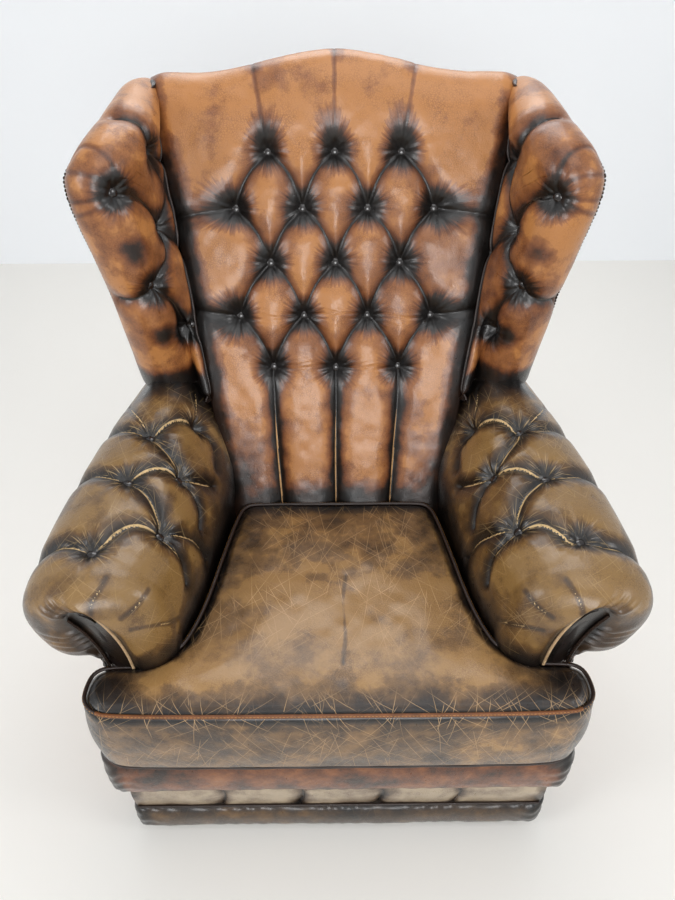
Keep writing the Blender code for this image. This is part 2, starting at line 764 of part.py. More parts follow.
def add_base(leather, panel_leather, lining, rubber):
    """The rolls and band across the front, the lining under the seat and the glides."""
    rear = FRONT_RAIL_FACE - CLEAR
    upper_low = BASE_TOP - 0.008 - UPPER_ROLL_HEIGHT
    smooth(put("base_roll_upper", roll(
        UPPER_ROLL_HALF, -ROLL_PROUD_UPPER, rear, upper_low, BASE_TOP - 0.008), leather))
    smooth(put("base_roll_lower", roll(
        LOWER_ROLL_HALF, -ROLL_PROUD_LOWER, rear, PANEL_FOOT, LOWER_ROLL_TOP), leather))
    put("base_band", slab(
        (-side_x(0), side_x(0)), (BAND_RECESS, rear),
        (LOWER_ROLL_TOP + CLEAR, upper_low - CLEAR),
    ), leather)
    lining_half = frame_side(BASE_DEPTH) - POST_SIDE - 0.004
    put("dust_cover", slab(
        (-lining_half, lining_half), (FRONT_RAIL_FACE, post_rear(0)),
        (RAIL_FOOT - CLEAR - DUST_COVER, RAIL_FOOT - CLEAR),
    ), lining)
    front_x = frame_side(ARM_POST_FRONT) - ARM_POST_WIDTH / 2
    back_x = frame_side(BASE_DEPTH) - POST_SIDE / 2
    places = (
        ("front", front_x, (ARM_POST_FRONT + ARM_POST_REAR) / 2),
        ("back", back_x, (post_front(0) + post_rear(0)) / 2),
    )
    for end, x, y in places:
        for side, hand in ((-1, "left"), (1, "right")):
            glide = bmesh.new()
            bmesh.ops.create_cone(
                glide, cap_ends=True, segments=16,
                radius1=GLIDE_RADIUS, radius2=GLIDE_RADIUS, depth=GLIDE_HEIGHT,
            )
            bmesh.ops.translate(glide, vec=(x, y, GLIDE_HEIGHT / 2), verts=glide.verts)
            smooth(put("glide_%s_%s" % (end, hand), glide, rubber, side))


def add_outside(leather):
    """The plain panels that close the outside of the back, arms and wings."""
    back = []
    for z in (PANEL_FOOT, KNEE, PANEL_TOP):
        high = max(z - KNEE, 0.0) / (PANEL_TOP - KNEE)
        half = side_x(BASE_DEPTH) + (back_half(PANEL_TOP) - side_x(BASE_DEPTH)) * high
        y = outside_back(z)
        back.append([(-half, y - PANEL, z), (half, y - PANEL, z), (half, y, z), (-half, y, z)])
    put("outside_back", loft(back), leather)
    arm_top = ARM_RAIL_LOW - ARM_WRAP - 2 * CLEAR
    under_ear = deck_top(FACING_FRONT)
    arm = [
        (FRONT_RAIL_FACE, PANEL_FOOT),
        (post_rear(0), PANEL_FOOT),
        (post_rear(KNEE), KNEE),
        (post_rear(arm_top), arm_top),
        (BASE_DEPTH, arm_top),
        (FACING_FRONT, arm_top),
        (FACING_FRONT, under_ear),
        (FRONT_RAIL_FACE, under_ear),
    ]
    wing_low = ARM_HEIGHT + CLEAR
    wing_lead = WING_FRONT + WING_ROLL / 2
    wing_high = WING_TOP - WING_TOP_ROUND - 0.010
    wing = [
        (wing_lead, wing_low),
        (post_rear(wing_low), wing_low),
        (post_rear(PANEL_TOP), PANEL_TOP),
        (post_rear(PANEL_TOP) - 0.060, wing_high),
        (wing_lead + 0.045, wing_high),
        (wing_lead + 0.012, wing_high - 0.025),
        (wing_lead, wing_high - 0.055),
    ]
    for side, hand in ((-1, "left"), (1, "right")):
        put("outside_arm_" + hand, plate(arm, side_x, PANEL), leather, side)
        put("outside_wing_" + hand, plate(wing, wing_x, PANEL), leather, side)


def add_arms_and_wings(leather, facing_leather, tools):
    bay = put("back_bay", back_bay(), None)
    for side, hand in ((-1, "left"), (1, "right")):
        own = tools[hand]
        arm = put("arm_padding_" + hand, arm_body(), leather, side)
        smooth(arm)
        cut(arm, own["arm_rail"], own["arm_post"], own["back_post"], own["wing_rail"], bay)
        wing = put("wing_padding_" + hand, wing_body(), leather, side)
        smooth(wing)
        cut(wing, own["back_post"], own["wing_rail"])
        put("arm_facing_" + hand, facing(), facing_leather, side)


def main():
    start()
    beech = material("beech", "b58a57", 0.60)
    steel = material("spring_steel", "6f7276", 0.35, 1.0)
    hessian = material("hessian_deck", "8a7350", 0.90)
    foam = material("cushion_foam", "e0d6b8", 0.95)
    tan = material("antique_tan_leather", "8f5326", 0.42)
    olive = material("worn_seat_leather", "5d4022", 0.45)
    dark = material("dark_facing_leather", "241a15", 0.35)
    lining = material("black_lining", "1b1a1a", 0.90)
    rubber = material("black_glide", "151515", 0.50)

    members = {
        "arm_rail": arm_rail,
        "arm_post": arm_post,
        "back_post": back_post,
        "wing_rail": wing_rail,
    }
    tools = {}
    for side, hand in ((-1, "left"), (1, "right")):
        tools[hand] = {
            name: put("room_for_%s_%s" % (name, hand), shape(CLEAR), None, side)
            for name, shape in members.items()
        }
    posts = [tools[hand][name] for hand in tools for name in ("arm_post", "back_post")]
    room_for_crest = put("room_for_crest_rail", crest_rail(CLEAR), None)

    add_frame(beech)
    add_springs(steel)
    add_deck(hessian, posts)
    add_seat_cushion(olive, foam)
    add_arms_and_wings(olive, dark, tools)
    rooms = [tools[hand][name] for hand in tools for name in ("wing_rail", "arm_rail")]
    add_back(tan, dark, [room_for_crest, *rooms])
    add_base(olive, olive, lining, rubber)
    add_outside(tan)


main()
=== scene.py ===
"""Covers the frame of a buttoned wing chair: hide, buttons, welts, nails and the stage.

Metres, +Z up. Shapes are worked out in depths behind the front of the base, as a chair
maker measures them, and SHIFT turns a depth into a place along Y.
"""

import functools
import itertools
import math

import bmesh
import bpy
import numpy as np
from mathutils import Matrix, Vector


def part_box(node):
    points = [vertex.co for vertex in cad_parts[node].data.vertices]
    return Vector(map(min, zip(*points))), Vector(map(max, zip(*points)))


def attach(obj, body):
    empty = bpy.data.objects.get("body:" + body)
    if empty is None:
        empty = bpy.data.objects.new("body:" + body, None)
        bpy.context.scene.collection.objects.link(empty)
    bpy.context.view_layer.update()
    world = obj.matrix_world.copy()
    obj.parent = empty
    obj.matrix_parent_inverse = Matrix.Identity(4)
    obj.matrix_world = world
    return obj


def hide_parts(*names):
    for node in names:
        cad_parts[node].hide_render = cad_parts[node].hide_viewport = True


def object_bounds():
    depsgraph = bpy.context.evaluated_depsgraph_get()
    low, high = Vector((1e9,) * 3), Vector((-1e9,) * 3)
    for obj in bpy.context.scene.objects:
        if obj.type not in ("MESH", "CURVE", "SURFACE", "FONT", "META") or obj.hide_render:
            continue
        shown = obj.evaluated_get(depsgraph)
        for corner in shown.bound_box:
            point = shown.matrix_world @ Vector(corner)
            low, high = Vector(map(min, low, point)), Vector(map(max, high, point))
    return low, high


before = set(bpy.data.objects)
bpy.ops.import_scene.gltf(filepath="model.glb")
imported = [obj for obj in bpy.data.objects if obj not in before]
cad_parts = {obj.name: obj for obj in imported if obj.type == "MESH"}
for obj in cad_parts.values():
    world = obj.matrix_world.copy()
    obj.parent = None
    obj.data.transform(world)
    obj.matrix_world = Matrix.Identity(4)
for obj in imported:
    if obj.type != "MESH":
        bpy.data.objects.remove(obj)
CAD_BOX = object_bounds()

bl_info = {
    "name": "Buttoned Wing Chair",
    "version": (1, 0, 0),
    "blender": (4, 5, 0),
    "location": "View3D > Sidebar > Wing Chair",
    "description": "Covers a wing chair's frame in worn, hand-rubbed hide",
    "category": "Add Mesh",
}

HEIGHT = CAD_BOX[1].z
WIDTH = CAD_BOX[1].x - CAD_BOX[0].x
FRONT_RAIL_FACE = 0.032
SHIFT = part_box("seat_rail_front")[0].y - FRONT_RAIL_FACE

BASE_TOP = 0.308
BASE_DEPTH = 0.600
BASE_WIDTH_FRONT = 0.704
BASE_WIDTH_BACK = 0.570
SEAT_HEIGHT = 0.475
CUSHION_THICK = 0.167
CUSHION_DEPTH = 0.405
CUSHION_FRONT = 0.033
SEAT_SLOPE = 0.100
CUSHION_BACK = SEAT_HEIGHT - SEAT_SLOPE * CUSHION_DEPTH
EAR_PROUD = 0.010
EAR_REAR = 0.056

CREST_ARCH = 0.033
CREST_ARCH_HALF = 0.22
CREST_CORNER = HEIGHT - CREST_ARCH
CREST_DEPTH = 0.729         # face of the back at the crest's corners
BACK_HALF_SEAT = 0.195
BACK_HALF_CREST = 0.299
BACK_TOP_DEPTH = 0.800
PANEL_TOP = CREST_CORNER - 0.062

ARM_HEIGHT = 0.635
ARM_WIDEST = 0.100
ARM_ROLL_LOW = 0.485
ARM_REAR_NARROWING = 0.075

WING_FRONT = 0.500
WING_HALF_BOTTOM = 0.336
WING_FLARE = 0.135
WING_TOE_IN = 0.250
WING_ROLL = 0.095
WING_TOP = CREST_CORNER - 0.002

HANDS = ((-1, "left"), (1, "right"))

PHOTO_SIZE = (675, 900)
CAMERA_HEIGHT = 1.478
CAMERA_DEPTH = -0.550
CAMERA_X = -0.0081
CAMERA_PITCH = math.radians(43.7)
CAMERA_YAW = math.radians(0.58)
FOCAL_PIXELS = 780.2
SENSOR = 36.0


def linear(colour):
    """An sRGB colour of six hex digits, as linear red, green, blue and alpha."""
    parts = [int(colour[i:i + 2], 16) / 255 for i in (0, 2, 4)]
    return (*[p / 12.92 if p <= 0.04045 else ((p + 0.055) / 1.055) ** 2.4 for p in parts], 1.0)


def hue(default, name, description):
    return bpy.props.FloatVectorProperty(
        name=name, description=description, subtype="COLOR", size=4, min=0, max=1,
        default=linear(default),
    )


def length(default, name, description):
    return bpy.props.FloatProperty(
        name=name, description=description, subtype="DISTANCE", unit="LENGTH",
        default=default, min=0,
    )


class WingChairSizes(bpy.types.PropertyGroup):
    """Sizes that an upholsterer would choose."""
    pillow: length(0.023, "Pillow", "Rise of the back's pillows over its buttons")
    arm_pillow: length(0.017, "Arm pillow", "Rise of the arms' and wings' pillows")
    button: length(0.0088, "Button", "Radius of a button")
    nail: length(0.0027, "Nail", "Radius of a nail's head")
    nail_step: length(0.0060, "Nail step", "From one nail to the next")
    welt: length(0.0029, "Welt", "Radius of the piping")
    grid: length(0.0022, "Grid", "Size of a face in the covers' meshes")


class WingChairColours(bpy.types.PropertyGroup):
    """Colours of the hides and fittings."""
    tan: hue("9A6236", "Tan", "Rubbed face of the back's hide")
    chestnut: hue("704022", "Chestnut", "The same hide between rubbed and dark")
    olive: hue("664A28", "Olive", "Rubbed face of the seat's and arms' hide")
    umber: hue("42301E", "Umber", "The same hide between rubbed and dark")
    # the black is the dye round the buttons, and painted shade in the folds and at the seams
    black: hue("0D0907", "Black", "Both hides round buttons and seams")
    worn: hue("CFA06A", "Worn", "Raw hide, where the dye has worn off")
    button: hue("1E1512", "Button", "The buttons")


def sizes():
    return bpy.context.scene.wing_chair_sizes


def colours():
    return bpy.context.scene.wing_chair_colours


def side_x(y):
    """The outside of the base and arm panels."""
    share = np.minimum(y / BASE_DEPTH, 1.0)
    return (BASE_WIDTH_FRONT + (BASE_WIDTH_BACK - BASE_WIDTH_FRONT) * share) / 2


def back_face(z):
    lean = (CREST_DEPTH - CUSHION_DEPTH) / (CREST_CORNER - CUSHION_BACK)
    return CUSHION_DEPTH + lean * (z - CUSHION_BACK)


def outside_back(z):
    lean = (BACK_TOP_DEPTH - BASE_DEPTH) / (HEIGHT - 0.045 - BASE_TOP)
    return BASE_DEPTH + lean * np.maximum(z - BASE_TOP, 0.0)


def outside_half(z):
    """Half the width of the outside back, which widens up to the top of its panel."""
    low = float(side_x(BASE_DEPTH))
    high = np.clip((z - BASE_TOP) / (PANEL_TOP - BASE_TOP), 0, 1)
    return low + (back_half(PANEL_TOP) - low) * high


def back_half(z):
    share = (z - CUSHION_BACK) / (CREST_CORNER - CUSHION_BACK)
    return BACK_HALF_SEAT + (BACK_HALF_CREST - BACK_HALF_SEAT) * share


def crest_height(x):
    share = min(abs(x) / CREST_ARCH_HALF, 1.0)
    return CREST_CORNER + CREST_ARCH * math.cos(math.pi / 2 * share) ** 2


def wing_x(y, z):
    """The outside of the wings."""
    return WING_HALF_BOTTOM + WING_FLARE * (z - ARM_HEIGHT) - WING_TOE_IN * (y - WING_FRONT - 0.030)


def rounded(points, count, rounds=4):
    """A smooth run of this many evenly spaced points, with its corners cut off."""
    run = np.array(points, float)
    for _ in range(rounds):
        near = run[:-1] * 0.75 + run[1:] * 0.25
        far = run[:-1] * 0.25 + run[1:] * 0.75
        cut = np.stack([near, far], axis=1).reshape(-1, run.shape[1])
        run = np.concatenate([run[:1], cut, run[-1:]])
    return evenly(run, count)


def evenly(run, count):
    """The same run of points, spaced evenly along its length."""
    steps = np.linalg.norm(np.diff(run, axis=0), axis=1)
    far = np.concatenate([[0.0], np.cumsum(steps)])
    want = np.linspace(0.0, far[-1], count)
    return np.stack([np.interp(want, far, run[:, i]) for i in range(run.shape[1])], axis=1)


def smoothstep(low, high, value):
    share = np.clip((value - low) / (high - low), 0.0, 1.0)
    return share * share * (3 - 2 * share)


def fade(low, high, value):
    """Falls smoothly from 1 to 0 as the value goes from low to high."""
    return 1 - smoothstep(low, high, value)


def strongest(*marks):
    """The greatest of these marks at each place."""
    return functools.reduce(np.maximum, marks)


def lumps(places, size, seed):
    """Smooth random heights between -1 and 1, in lumps of about this size."""
    scaled = places / size + seed * 7.31
    cell = np.floor(scaled).astype(np.int64)
    part = scaled - cell
    part = part * part * (3 - 2 * part)
    total = np.zeros(places.shape[:-1])
    for corner in itertools.product((0, 1), repeat=3):
        key = (cell + corner) @ np.array([73856093, 19349663, 83492791])
        key = (key ^ (key >> 13)) * 1274126177
        value = ((key ^ (key >> 16)) & 0xFFFF) / 32767.5 - 1
        share = np.prod(np.where(np.array(corner) == 1, part, 1 - part), axis=-1)
        total = total + share * value
    return total


def facing_out(places, towards):
    """The grid's normals, turned so that their mean points towards this direction."""
    down = np.gradient(places, axis=0)
    across = np.gradient(places, axis=1)
    out = np.cross(down, across)
    out /= np.maximum(np.linalg.norm(out, axis=-1, keepdims=True), 1e-12)
    if (out @ np.array(towards)).mean() < 0:
        out = -out
    return out


def at(grid, row, column):
    """A place on a grid between its rows and columns."""
    row = min(max(row, 0), grid.shape[0] - 1.001)
    column = min(max(column, 0), grid.shape[1] - 1.001)
    i, j = int(row), int(column)
    a, b = row - i, column - j
    top = grid[i, j] * (1 - b) + grid[i, j + 1] * b
    low = grid[i + 1, j] * (1 - b) + grid[i + 1, j + 1] * b
    return top * (1 - a) + low * a


def trail(grid, stops, count=9):
    """Places on a grid along a curve through these stops of row and column."""
    route = np.array(stops, float)
    if len(route) > 2:
        route = rounded(route, count, 3)
    else:
        route = evenly(route, count)
    return np.array([at(grid, row, column) for row, column in route])


def project(places):
    """Where these places fall in the photo, in pixels, and how far off they are."""
    spot = places - np.array([CAMERA_X, CAMERA_DEPTH, CAMERA_HEIGHT])
    c, s = math.cos(CAMERA_YAW), math.sin(CAMERA_YAW)
    x = spot[..., 0] * c - spot[..., 1] * s
    y = spot[..., 0] * s + spot[..., 1] * c
    far = y * math.cos(CAMERA_PITCH) - spot[..., 2] * math.sin(CAMERA_PITCH)
    up = y * math.sin(CAMERA_PITCH) + spot[..., 2] * math.cos(CAMERA_PITCH)
    across = PHOTO_SIZE[0] / 2 + FOCAL_PIXELS * x / far
    return across, PHOTO_SIZE[1] / 2 - FOCAL_PIXELS * up / far, far


def seen_at(grid, out, pixel):
    """The row and column of the grid that the photo shows at this pixel."""
    across, down, _ = project(grid)
    eye = np.array([CAMERA_X, CAMERA_DEPTH, CAMERA_HEIGHT])
    turned = np.einsum("ijk,ijk->ij", out, grid - eye) > 0
    miss = (across - pixel[0]) ** 2 + (down - pixel[1]) ** 2 + 1e4 * turned
    return np.unravel_index(np.argmin(miss), miss.shape)


FAR_OFF = 9.0                 # stands for the distance of what isn't there
NO_FOLD = 0.2                 # and this for a fold's, where the hide's shading has ended
LIP_REACH = (0.006, 0.012)


def raised_side(fold):
    """Which side of a fold each place lies on, fading out with the distance."""
    return np.sign(fold) * fade(*LIP_REACH, np.abs(fold))


def to_path(places, out, path):
    """Each place's distance from a path, which side it lies on, and its share along it."""
    best = np.full(len(places), FAR_OFF)
    side = np.zeros(len(places))
    share = np.zeros(len(places))
    last = len(path) - 1
    for i in range(last):
        run = path[i + 1] - path[i]
        t = np.clip((places - path[i]) @ run / max(run @ run, 1e-12), 0.0, 1.0)
        gap = places - path[i] - t[:, None] * run
        far = np.linalg.norm(gap, axis=1)
        closer = far < best
        best[closer] = far[closer]
        cross = np.cross(run, out[closer])
        side[closer] = np.sign(np.einsum("ij,ij->i", cross, gap[closer]))
        share[closer] = (i + t[closer]) / last
    return best, side, share


CROWDING = 5.0                # how much more the nearest pleat counts than the next
FAINT_OFF = 0.060             # a pleat without strength counts as this much further off
CROWN_REACH = 0.040           # from a pleat to where a pillow's top begins


class Tuft:
    """Buttons and pleats on a cover, and what they do to the hide at each of its places."""

    def __init__(self, grid, out):
        self.shape = grid.shape
        self.places = grid.reshape(-1, 3)
        self.out = out.reshape(-1, 3)
        self.buttons = []
        self.pleats = []

    def measure(self):
        """Distances and directions from each place to its nearest button and pleat."""
        count = len(self.places)
        self.off = np.full(count, FAR_OFF)
        self.rub = np.zeros((count, 3))
        self.nearest = np.zeros(count, int)
        for number, (spot, normal) in enumerate(self.buttons):
            gap = self.places - spot
            far = np.linalg.norm(gap, axis=1)
            across = np.cross((0.0, 0.0, 1.0), normal)
            across /= np.linalg.norm(across)
            up = np.cross(normal, across)
            closer = far < self.off
            self.off[closer] = far[closer]
            self.nearest[closer] = number
            unit = gap[closer] / np.maximum(far[closer], 1e-6)[:, None]
            self.rub[closer, 0] = unit @ across
            self.rub[closer, 1] = unit @ up
            self.rub[closer, 2] = far[closer]
        self.fold = np.full(count, 0.05)
        self.strong = np.ones(count)
        self.sharp = np.zeros(count)
        self.mid = np.zeros(count)
        crowd = np.zeros(count)
        for path, strength, lip in self.pleats:
            far, side, share = to_path(self.places, self.out, path)
            faded = FAINT_OFF * (1 - strength) ** 1.5
            crowd += (np.maximum(far, 1e-4) + faded) ** -CROWDING
            closer = far < np.abs(self.fold)
            self.fold[closer] = (far * side * lip)[closer]
            taper = 0.35 + 0.65 * np.abs(2 * share - 1) ** 1.4
            self.sharp[closer] = (strength * taper)[closer]
            self.strong[closer] = strength
            self.mid[closer] = np.sin(math.pi * np.clip(share, 0, 1))[closer]
        self.network = crowd ** (-1 / CROWDING) if self.pleats else np.full(count, FAR_OFF)

    def rise(self, pillow, slack, reach, spread, pit):
        """How far the hide stands over the line of the buttons' seats."""
        funnel = 1 - np.exp(-(self.off / spread) ** 1.25)
        swell = 1 - (1 - np.minimum(self.network / reach, 1.0)) ** 2
        high = pillow * funnel * (slack + (1 - slack) * swell)
        return high - pit * np.exp(-(self.off / (spread * 0.55)) ** 2)

    def groove(self, depth, raised, sunk):
        """The furrow of each pleat, narrower on its raised side."""
        return depth * np.exp(-(np.abs(self.fold) / np.where(self.fold > 0, raised, sunk)))

    def pushed(self, shift):
        """The cover's grid, each place of it pushed out by its shift."""
        return (self.places + self.out * shift[:, None]).reshape(self.shape)

    def marks(self, dye_and_shade, wear):
        """What the hide's material reads: directions, folds, dark dye with painted shade, wear and
        pillow tops.
        """
        far = np.abs(self.fold)
        return {
            "rub": self.rub,
            "fold": np.hypot(far * (3.4 - 2.4 * self.strong), 0.0032 * (1 - self.strong)),
            "lip": raised_side(self.fold),
            "dye_and_shade": dye_and_shade,
            "wear": wear,
            "crown": np.minimum(self.network / CROWN_REACH, 1.0),
        }

    def puckers(self, height, spread, seed):
        """Small folds that run out from each button."""
        turn = np.arctan2(self.rub[:, 1], self.rub[:, 0])
        phase = self.nearest * 2.399 + seed
        wave = 0.6 * np.sin(5 * turn + 1.3 * phase)
        for folds, share, step in ((4, 1.0, 1.0), (7, 0.8, 2.7)):
            wave += share * (1 - 2 * np.abs(np.sin(folds * turn + step * phase)))
        fade = np.exp(-self.off / spread) * smoothstep(0.004, 0.012, self.off)
        return height * wave * fade


def cover(name, grid, marks, finish, joins=None):
    """A mesh through a grid of depths, with its marks kept as attributes.

    A closed cover has its last row or column joined to its first, straight through the
    padding, and its two ends filled."""
    rows, columns = grid.shape[:2]
    index = np.arange(rows * columns).reshape(rows, columns)
    ring = index
    if joins == "rows":
        ring = np.concatenate([index, index[:1]], axis=0)
    elif joins == "columns":
        ring = np.concatenate([index, index[:, :1]], axis=1)
    quads = np.stack([ring[:-1, :-1], ring[:-1, 1:], ring[1:, 1:], ring[1:, :-1]], axis=-1)
    mesh = bpy.data.meshes.new(name)
    placed = grid.reshape(-1, 3) + (0.0, SHIFT, 0.0)
    mesh.from_pydata(placed.tolist(), [], quads.reshape(-1, 4).tolist())
    keep_marks(mesh, marks)
    return finished(name, mesh, finish, joins is not None)


def keep_marks(mesh, marks):
    """Keeps each mark as an attribute of the mesh's points."""
    for mark, values in marks.items():
        values = np.asarray(values, dtype=np.float32)
        one = values.size == len(mesh.vertices)
        kind, key = ("FLOAT", "value") if one else ("FLOAT_VECTOR", "vector")
        mesh.attributes.new(mark, kind, "POINT").data.foreach_set(key, values.ravel())


def thicken(piece, much=0.004, offset=-1):
    """Gives an open sheet the thickness of a hide on its lining."""
    shell = piece.modifiers.new("thickness", "SOLIDIFY")
    shell.thickness, shell.offset = much, offset


def pad(name, grid, marks, finish, joins, slot, node):
    """A closed cover over soft padding, which stands for one node of the frame."""
    piece = fitted(cover(name, grid, marks, finish, joins), slot, node)


LONGEST_SOFT_EDGE = 0.030


def finished(name, mesh, finish, closed=True):
    """An object of this mesh, closed behind, facing out and shaded smooth."""
    bm = bmesh.new()
    bm.from_mesh(mesh)
    if closed:
        rim = [edge for edge in bm.edges if edge.is_boundary]
        for edge in bm.edges:
            edge.smooth = not edge.is_boundary and edge.calc_length() < LONGEST_SOFT_EDGE
        bmesh.ops.holes_fill(bm, edges=rim, sides=0)
    bmesh.ops.recalc_face_normals(bm, faces=bm.faces)
    for face in bm.faces:
        face.smooth = len(face.verts) < 5
    bm.to_mesh(mesh)
    bm.free()
    mesh.materials.clear()
    mesh.materials.append(finish)
    piece = bpy.data.objects.new(name, mesh)
    bpy.context.scene.collection.objects.link(piece)
    return piece


def fitted(piece, slot, *nodes):
    """The piece rides on the chair and stands for these nodes of its frame."""
    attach(piece, "root")
    if nodes:
        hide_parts(*nodes)
    return piece


def add(tree, kind, at=None, **values):
    """A node with its settings, its inputs' values and the links into its inputs."""
    node = tree.nodes.new(kind)
    for key, value in (at or {}).items():
        setattr(node, key, value)
    for key, value in values.items():
        spot = int(key[1:]) if key[0] == "_" and key[1:].isdigit() else key.replace("_", " ")
        socket = node.inputs[spot]
        if isinstance(value, bpy.types.NodeSocket):
            tree.links.new(value, socket)
        else:
            socket.default_value = value
    return node


MULTIPLY_ADD, MULTIPLY, ADD, SUBTRACT, DIVIDE, MAXIMUM, ABSOLUTE = (
    {"operation": name} for name in (
        "MULTIPLY_ADD", "MULTIPLY", "ADD", "SUBTRACT", "DIVIDE", "MAXIMUM", "ABSOLUTE"))
SOFT = {"interpolation_type": "SMOOTHSTEP"}


def flecks(tree, place, scale, detail=4.0, rough=0.6, stretch=(1, 1, 1)):
    """Cloudy variation from 0 to 1, at this many clouds a metre."""
    laid = add(tree, "ShaderNodeMapping", Vector=place, Scale=stretch)
    return add(
        tree, "ShaderNodeTexNoise", Vector=laid.outputs["Vector"], Scale=scale, Detail=detail,
        Roughness=rough,
    ).outputs["Fac"]


def antique_hide(name, shades, worn, scratches=0.0, fans=0.0, halo_reach=(0.031, 0.050)):
    """A waxed, hand-rubbed hide, dyed dark round its buttons, with painted shade in its folds, and
    dark dye mixed with painted shade at its seams.

    Full-grain cowhide, about 1.5 mm thick, drum dyed light, then sprayed and wiped dark and
    waxed. The eye gets a soft white gloss over fine cells, an orange glow where the wax is
    rubbed thin, strokes of black dye fanning out from the buttons, and raw pale edges on the
    folds. Scratches through the dye show as long thin lines of raw hide.
    """
    made = bpy.data.materials.new(name)
    made.use_nodes = True
    tree = made.node_tree
    shader = tree.nodes["Principled BSDF"]
    place = add(tree, "ShaderNodeTexCoord").outputs["Object"]
    rub = add(tree, "ShaderNodeAttribute", {"attribute_name": "rub"}).outputs["Vector"]
    fold, lip_side, dye_and_shade, wear, crown = (
        add(tree, "ShaderNodeAttribute", {"attribute_name": mark}).outputs["Fac"]
        for mark in ("fold", "lip", "dye_and_shade", "wear", "crown"))

    # strokes of dye round each button, ending 31 to 50 mm out on the back and wings
    fan = add(tree, "ShaderNodeVectorMath", MULTIPLY, _0=rub, _1=(8.0, 8.0, 22.0))
    strokes = flecks(tree, fan.outputs["Vector"], 1.0, 2.5, 0.7)
    cloud = flecks(tree, place, 24.0, 5.0, 0.60)
    patch = flecks(tree, place, 8.0, 2.0, 0.5)
    near = add(tree, "ShaderNodeSeparateXYZ", Vector=rub).outputs["Z"]
    reach = add(
        tree, "ShaderNodeMapRange", Value=strokes, From_Min=0.25, From_Max=0.75,
        To_Min=halo_reach[0], To_Max=halo_reach[1],
    ).outputs["Result"]
    share = add(tree, "ShaderNodeMath", DIVIDE, _0=near, _1=reach).outputs[0]
    halo = add(
        tree, "ShaderNodeMapRange", SOFT, Value=share, From_Min=0.20, From_Max=1.10,
        To_Min=1.0, To_Max=0.0,
    ).outputs["Result"]
    # painted shade: a dark line in each fold, and a painted shadow beside it
    line = add(
        tree, "ShaderNodeMapRange", SOFT, Value=fold, From_Min=0.0004, From_Max=0.0030,
        To_Min=0.80, To_Max=0.0,
    ).outputs["Result"]
    shadow = add(
        tree, "ShaderNodeMapRange", SOFT, Value=fold, From_Min=0.001, From_Max=0.015,
        To_Min=0.34, To_Max=0.0,
    ).outputs["Result"]
    # dark dye and painted shade from the cover's marks, made ragged by the clouds
    ragged = add(tree, "ShaderNodeMath", MULTIPLY_ADD, _0=cloud, _1=0.55, _2=dye_and_shade)
    dark_dye_and_shade = add(
        tree, "ShaderNodeMapRange", SOFT, Value=ragged.outputs[0], From_Min=0.30, From_Max=1.20,
    ).outputs["Result"]
    clean = add(tree, "ShaderNodeMath", SUBTRACT, _0=1.0, _1=halo).outputs[0]
    for mark in (line, shadow, dark_dye_and_shade):
        left = add(tree, "ShaderNodeMath", SUBTRACT, _0=1.0, _1=mark).outputs[0]
        clean = add(tree, "ShaderNodeMath", MULTIPLY, _0=clean, _1=left).outputs[0]
    dark = add(tree, "ShaderNodeMath", SUBTRACT, _0=1.0, _1=clean).outputs[0]
    for cause, middle, much in ((cloud, 0.48, 0.62), (patch, 0.44, 0.80), (crown, 0.62, -0.30)):
        off = add(tree, "ShaderNodeMath", SUBTRACT, _0=cause, _1=middle).outputs[0]
        dark = add(
            tree, "ShaderNodeMath", MULTIPLY_ADD, _0=off, _1=much, _2=dark,
        ).outputs[0]
    dye = add(tree, "ShaderNodeValToRGB", Fac=dark)
    ramp = dye.color_ramp.elements
    for end, (stop, colour) in zip(ramp, (shades[0], shades[-1])):
        end.position, end.color = stop, colour
    for stop, colour in shades[1:-1]:
        ramp.new(stop).color = colour
    colour = dye.outputs["Color"]

    # cracks in the wax: cells of 3 mm, drawn about twice as coarse as they are, to show
    warp = add(tree, "ShaderNodeTexNoise", Vector=place, Scale=90.0, Detail=1.0)
    bent = add(
        tree, "ShaderNodeVectorMath", MULTIPLY_ADD,
        _0=warp.outputs["Color"], _1=(0.006, 0.006, 0.006), _2=place,
    ).outputs["Vector"]
    cells = add(
        tree, "ShaderNodeTexVoronoi", {"feature": "DISTANCE_TO_EDGE"}, Vector=bent, Scale=300.0,
    ).outputs["Distance"]
    crack = add(
        tree, "ShaderNodeMapRange", Value=cells, From_Min=0.0, From_Max=0.16, To_Min=1.0,
        To_Max=0.0,
    ).outputs["Result"]
    cracked = add(
        tree, "ShaderNodeMapRange", Value=cloud, From_Min=0.40, From_Max=0.66, To_Min=0.05,
        To_Max=0.50,
    ).outputs["Result"]
    crack = add(tree, "ShaderNodeMath", MULTIPLY, _0=crack, _1=cracked).outputs[0]
    colour = add(
        tree, "ShaderNodeMix", {"data_type": "RGBA", "blend_type": "MULTIPLY"},
        _0=crack, _6=colour, _7=linear("7A5238"),
    ).outputs[2]

    # the raised lip of each fold, widest halfway along it, rubbed through the dye
    broad = add(tree, "ShaderNodeMath", MULTIPLY_ADD, _0=wear, _1=0.0036, _2=0.0004)
    over = add(
        tree, "ShaderNodeMath", DIVIDE, _0=fold, _1=broad.outputs[0]).outputs[0]
    lip = add(
        tree, "ShaderNodeMapRange", SOFT, Value=over, From_Min=1.05, From_Max=0.80,
    ).outputs["Result"]
    for gate, low, high in ((fold, 0.0002, 0.0009), (lip_side, 0.10, 0.45), (wear, 0.15, 0.60)):
        open_gate = add(
            tree, "ShaderNodeMapRange", SOFT, Value=gate, From_Min=low, From_Max=high,
        ).outputs["Result"]
        lip = add(tree, "ShaderNodeMath", MULTIPLY, _0=lip, _1=open_gate).outputs[0]
    broken = add(
        tree, "ShaderNodeMapRange", Value=flecks(tree, place, 120.0, 2.0), From_Min=0.20,
        From_Max=0.46,
    ).outputs["Result"]
    raw = add(tree, "ShaderNodeMath", MULTIPLY, _0=lip, _1=broken).outputs[0]

    if fans:
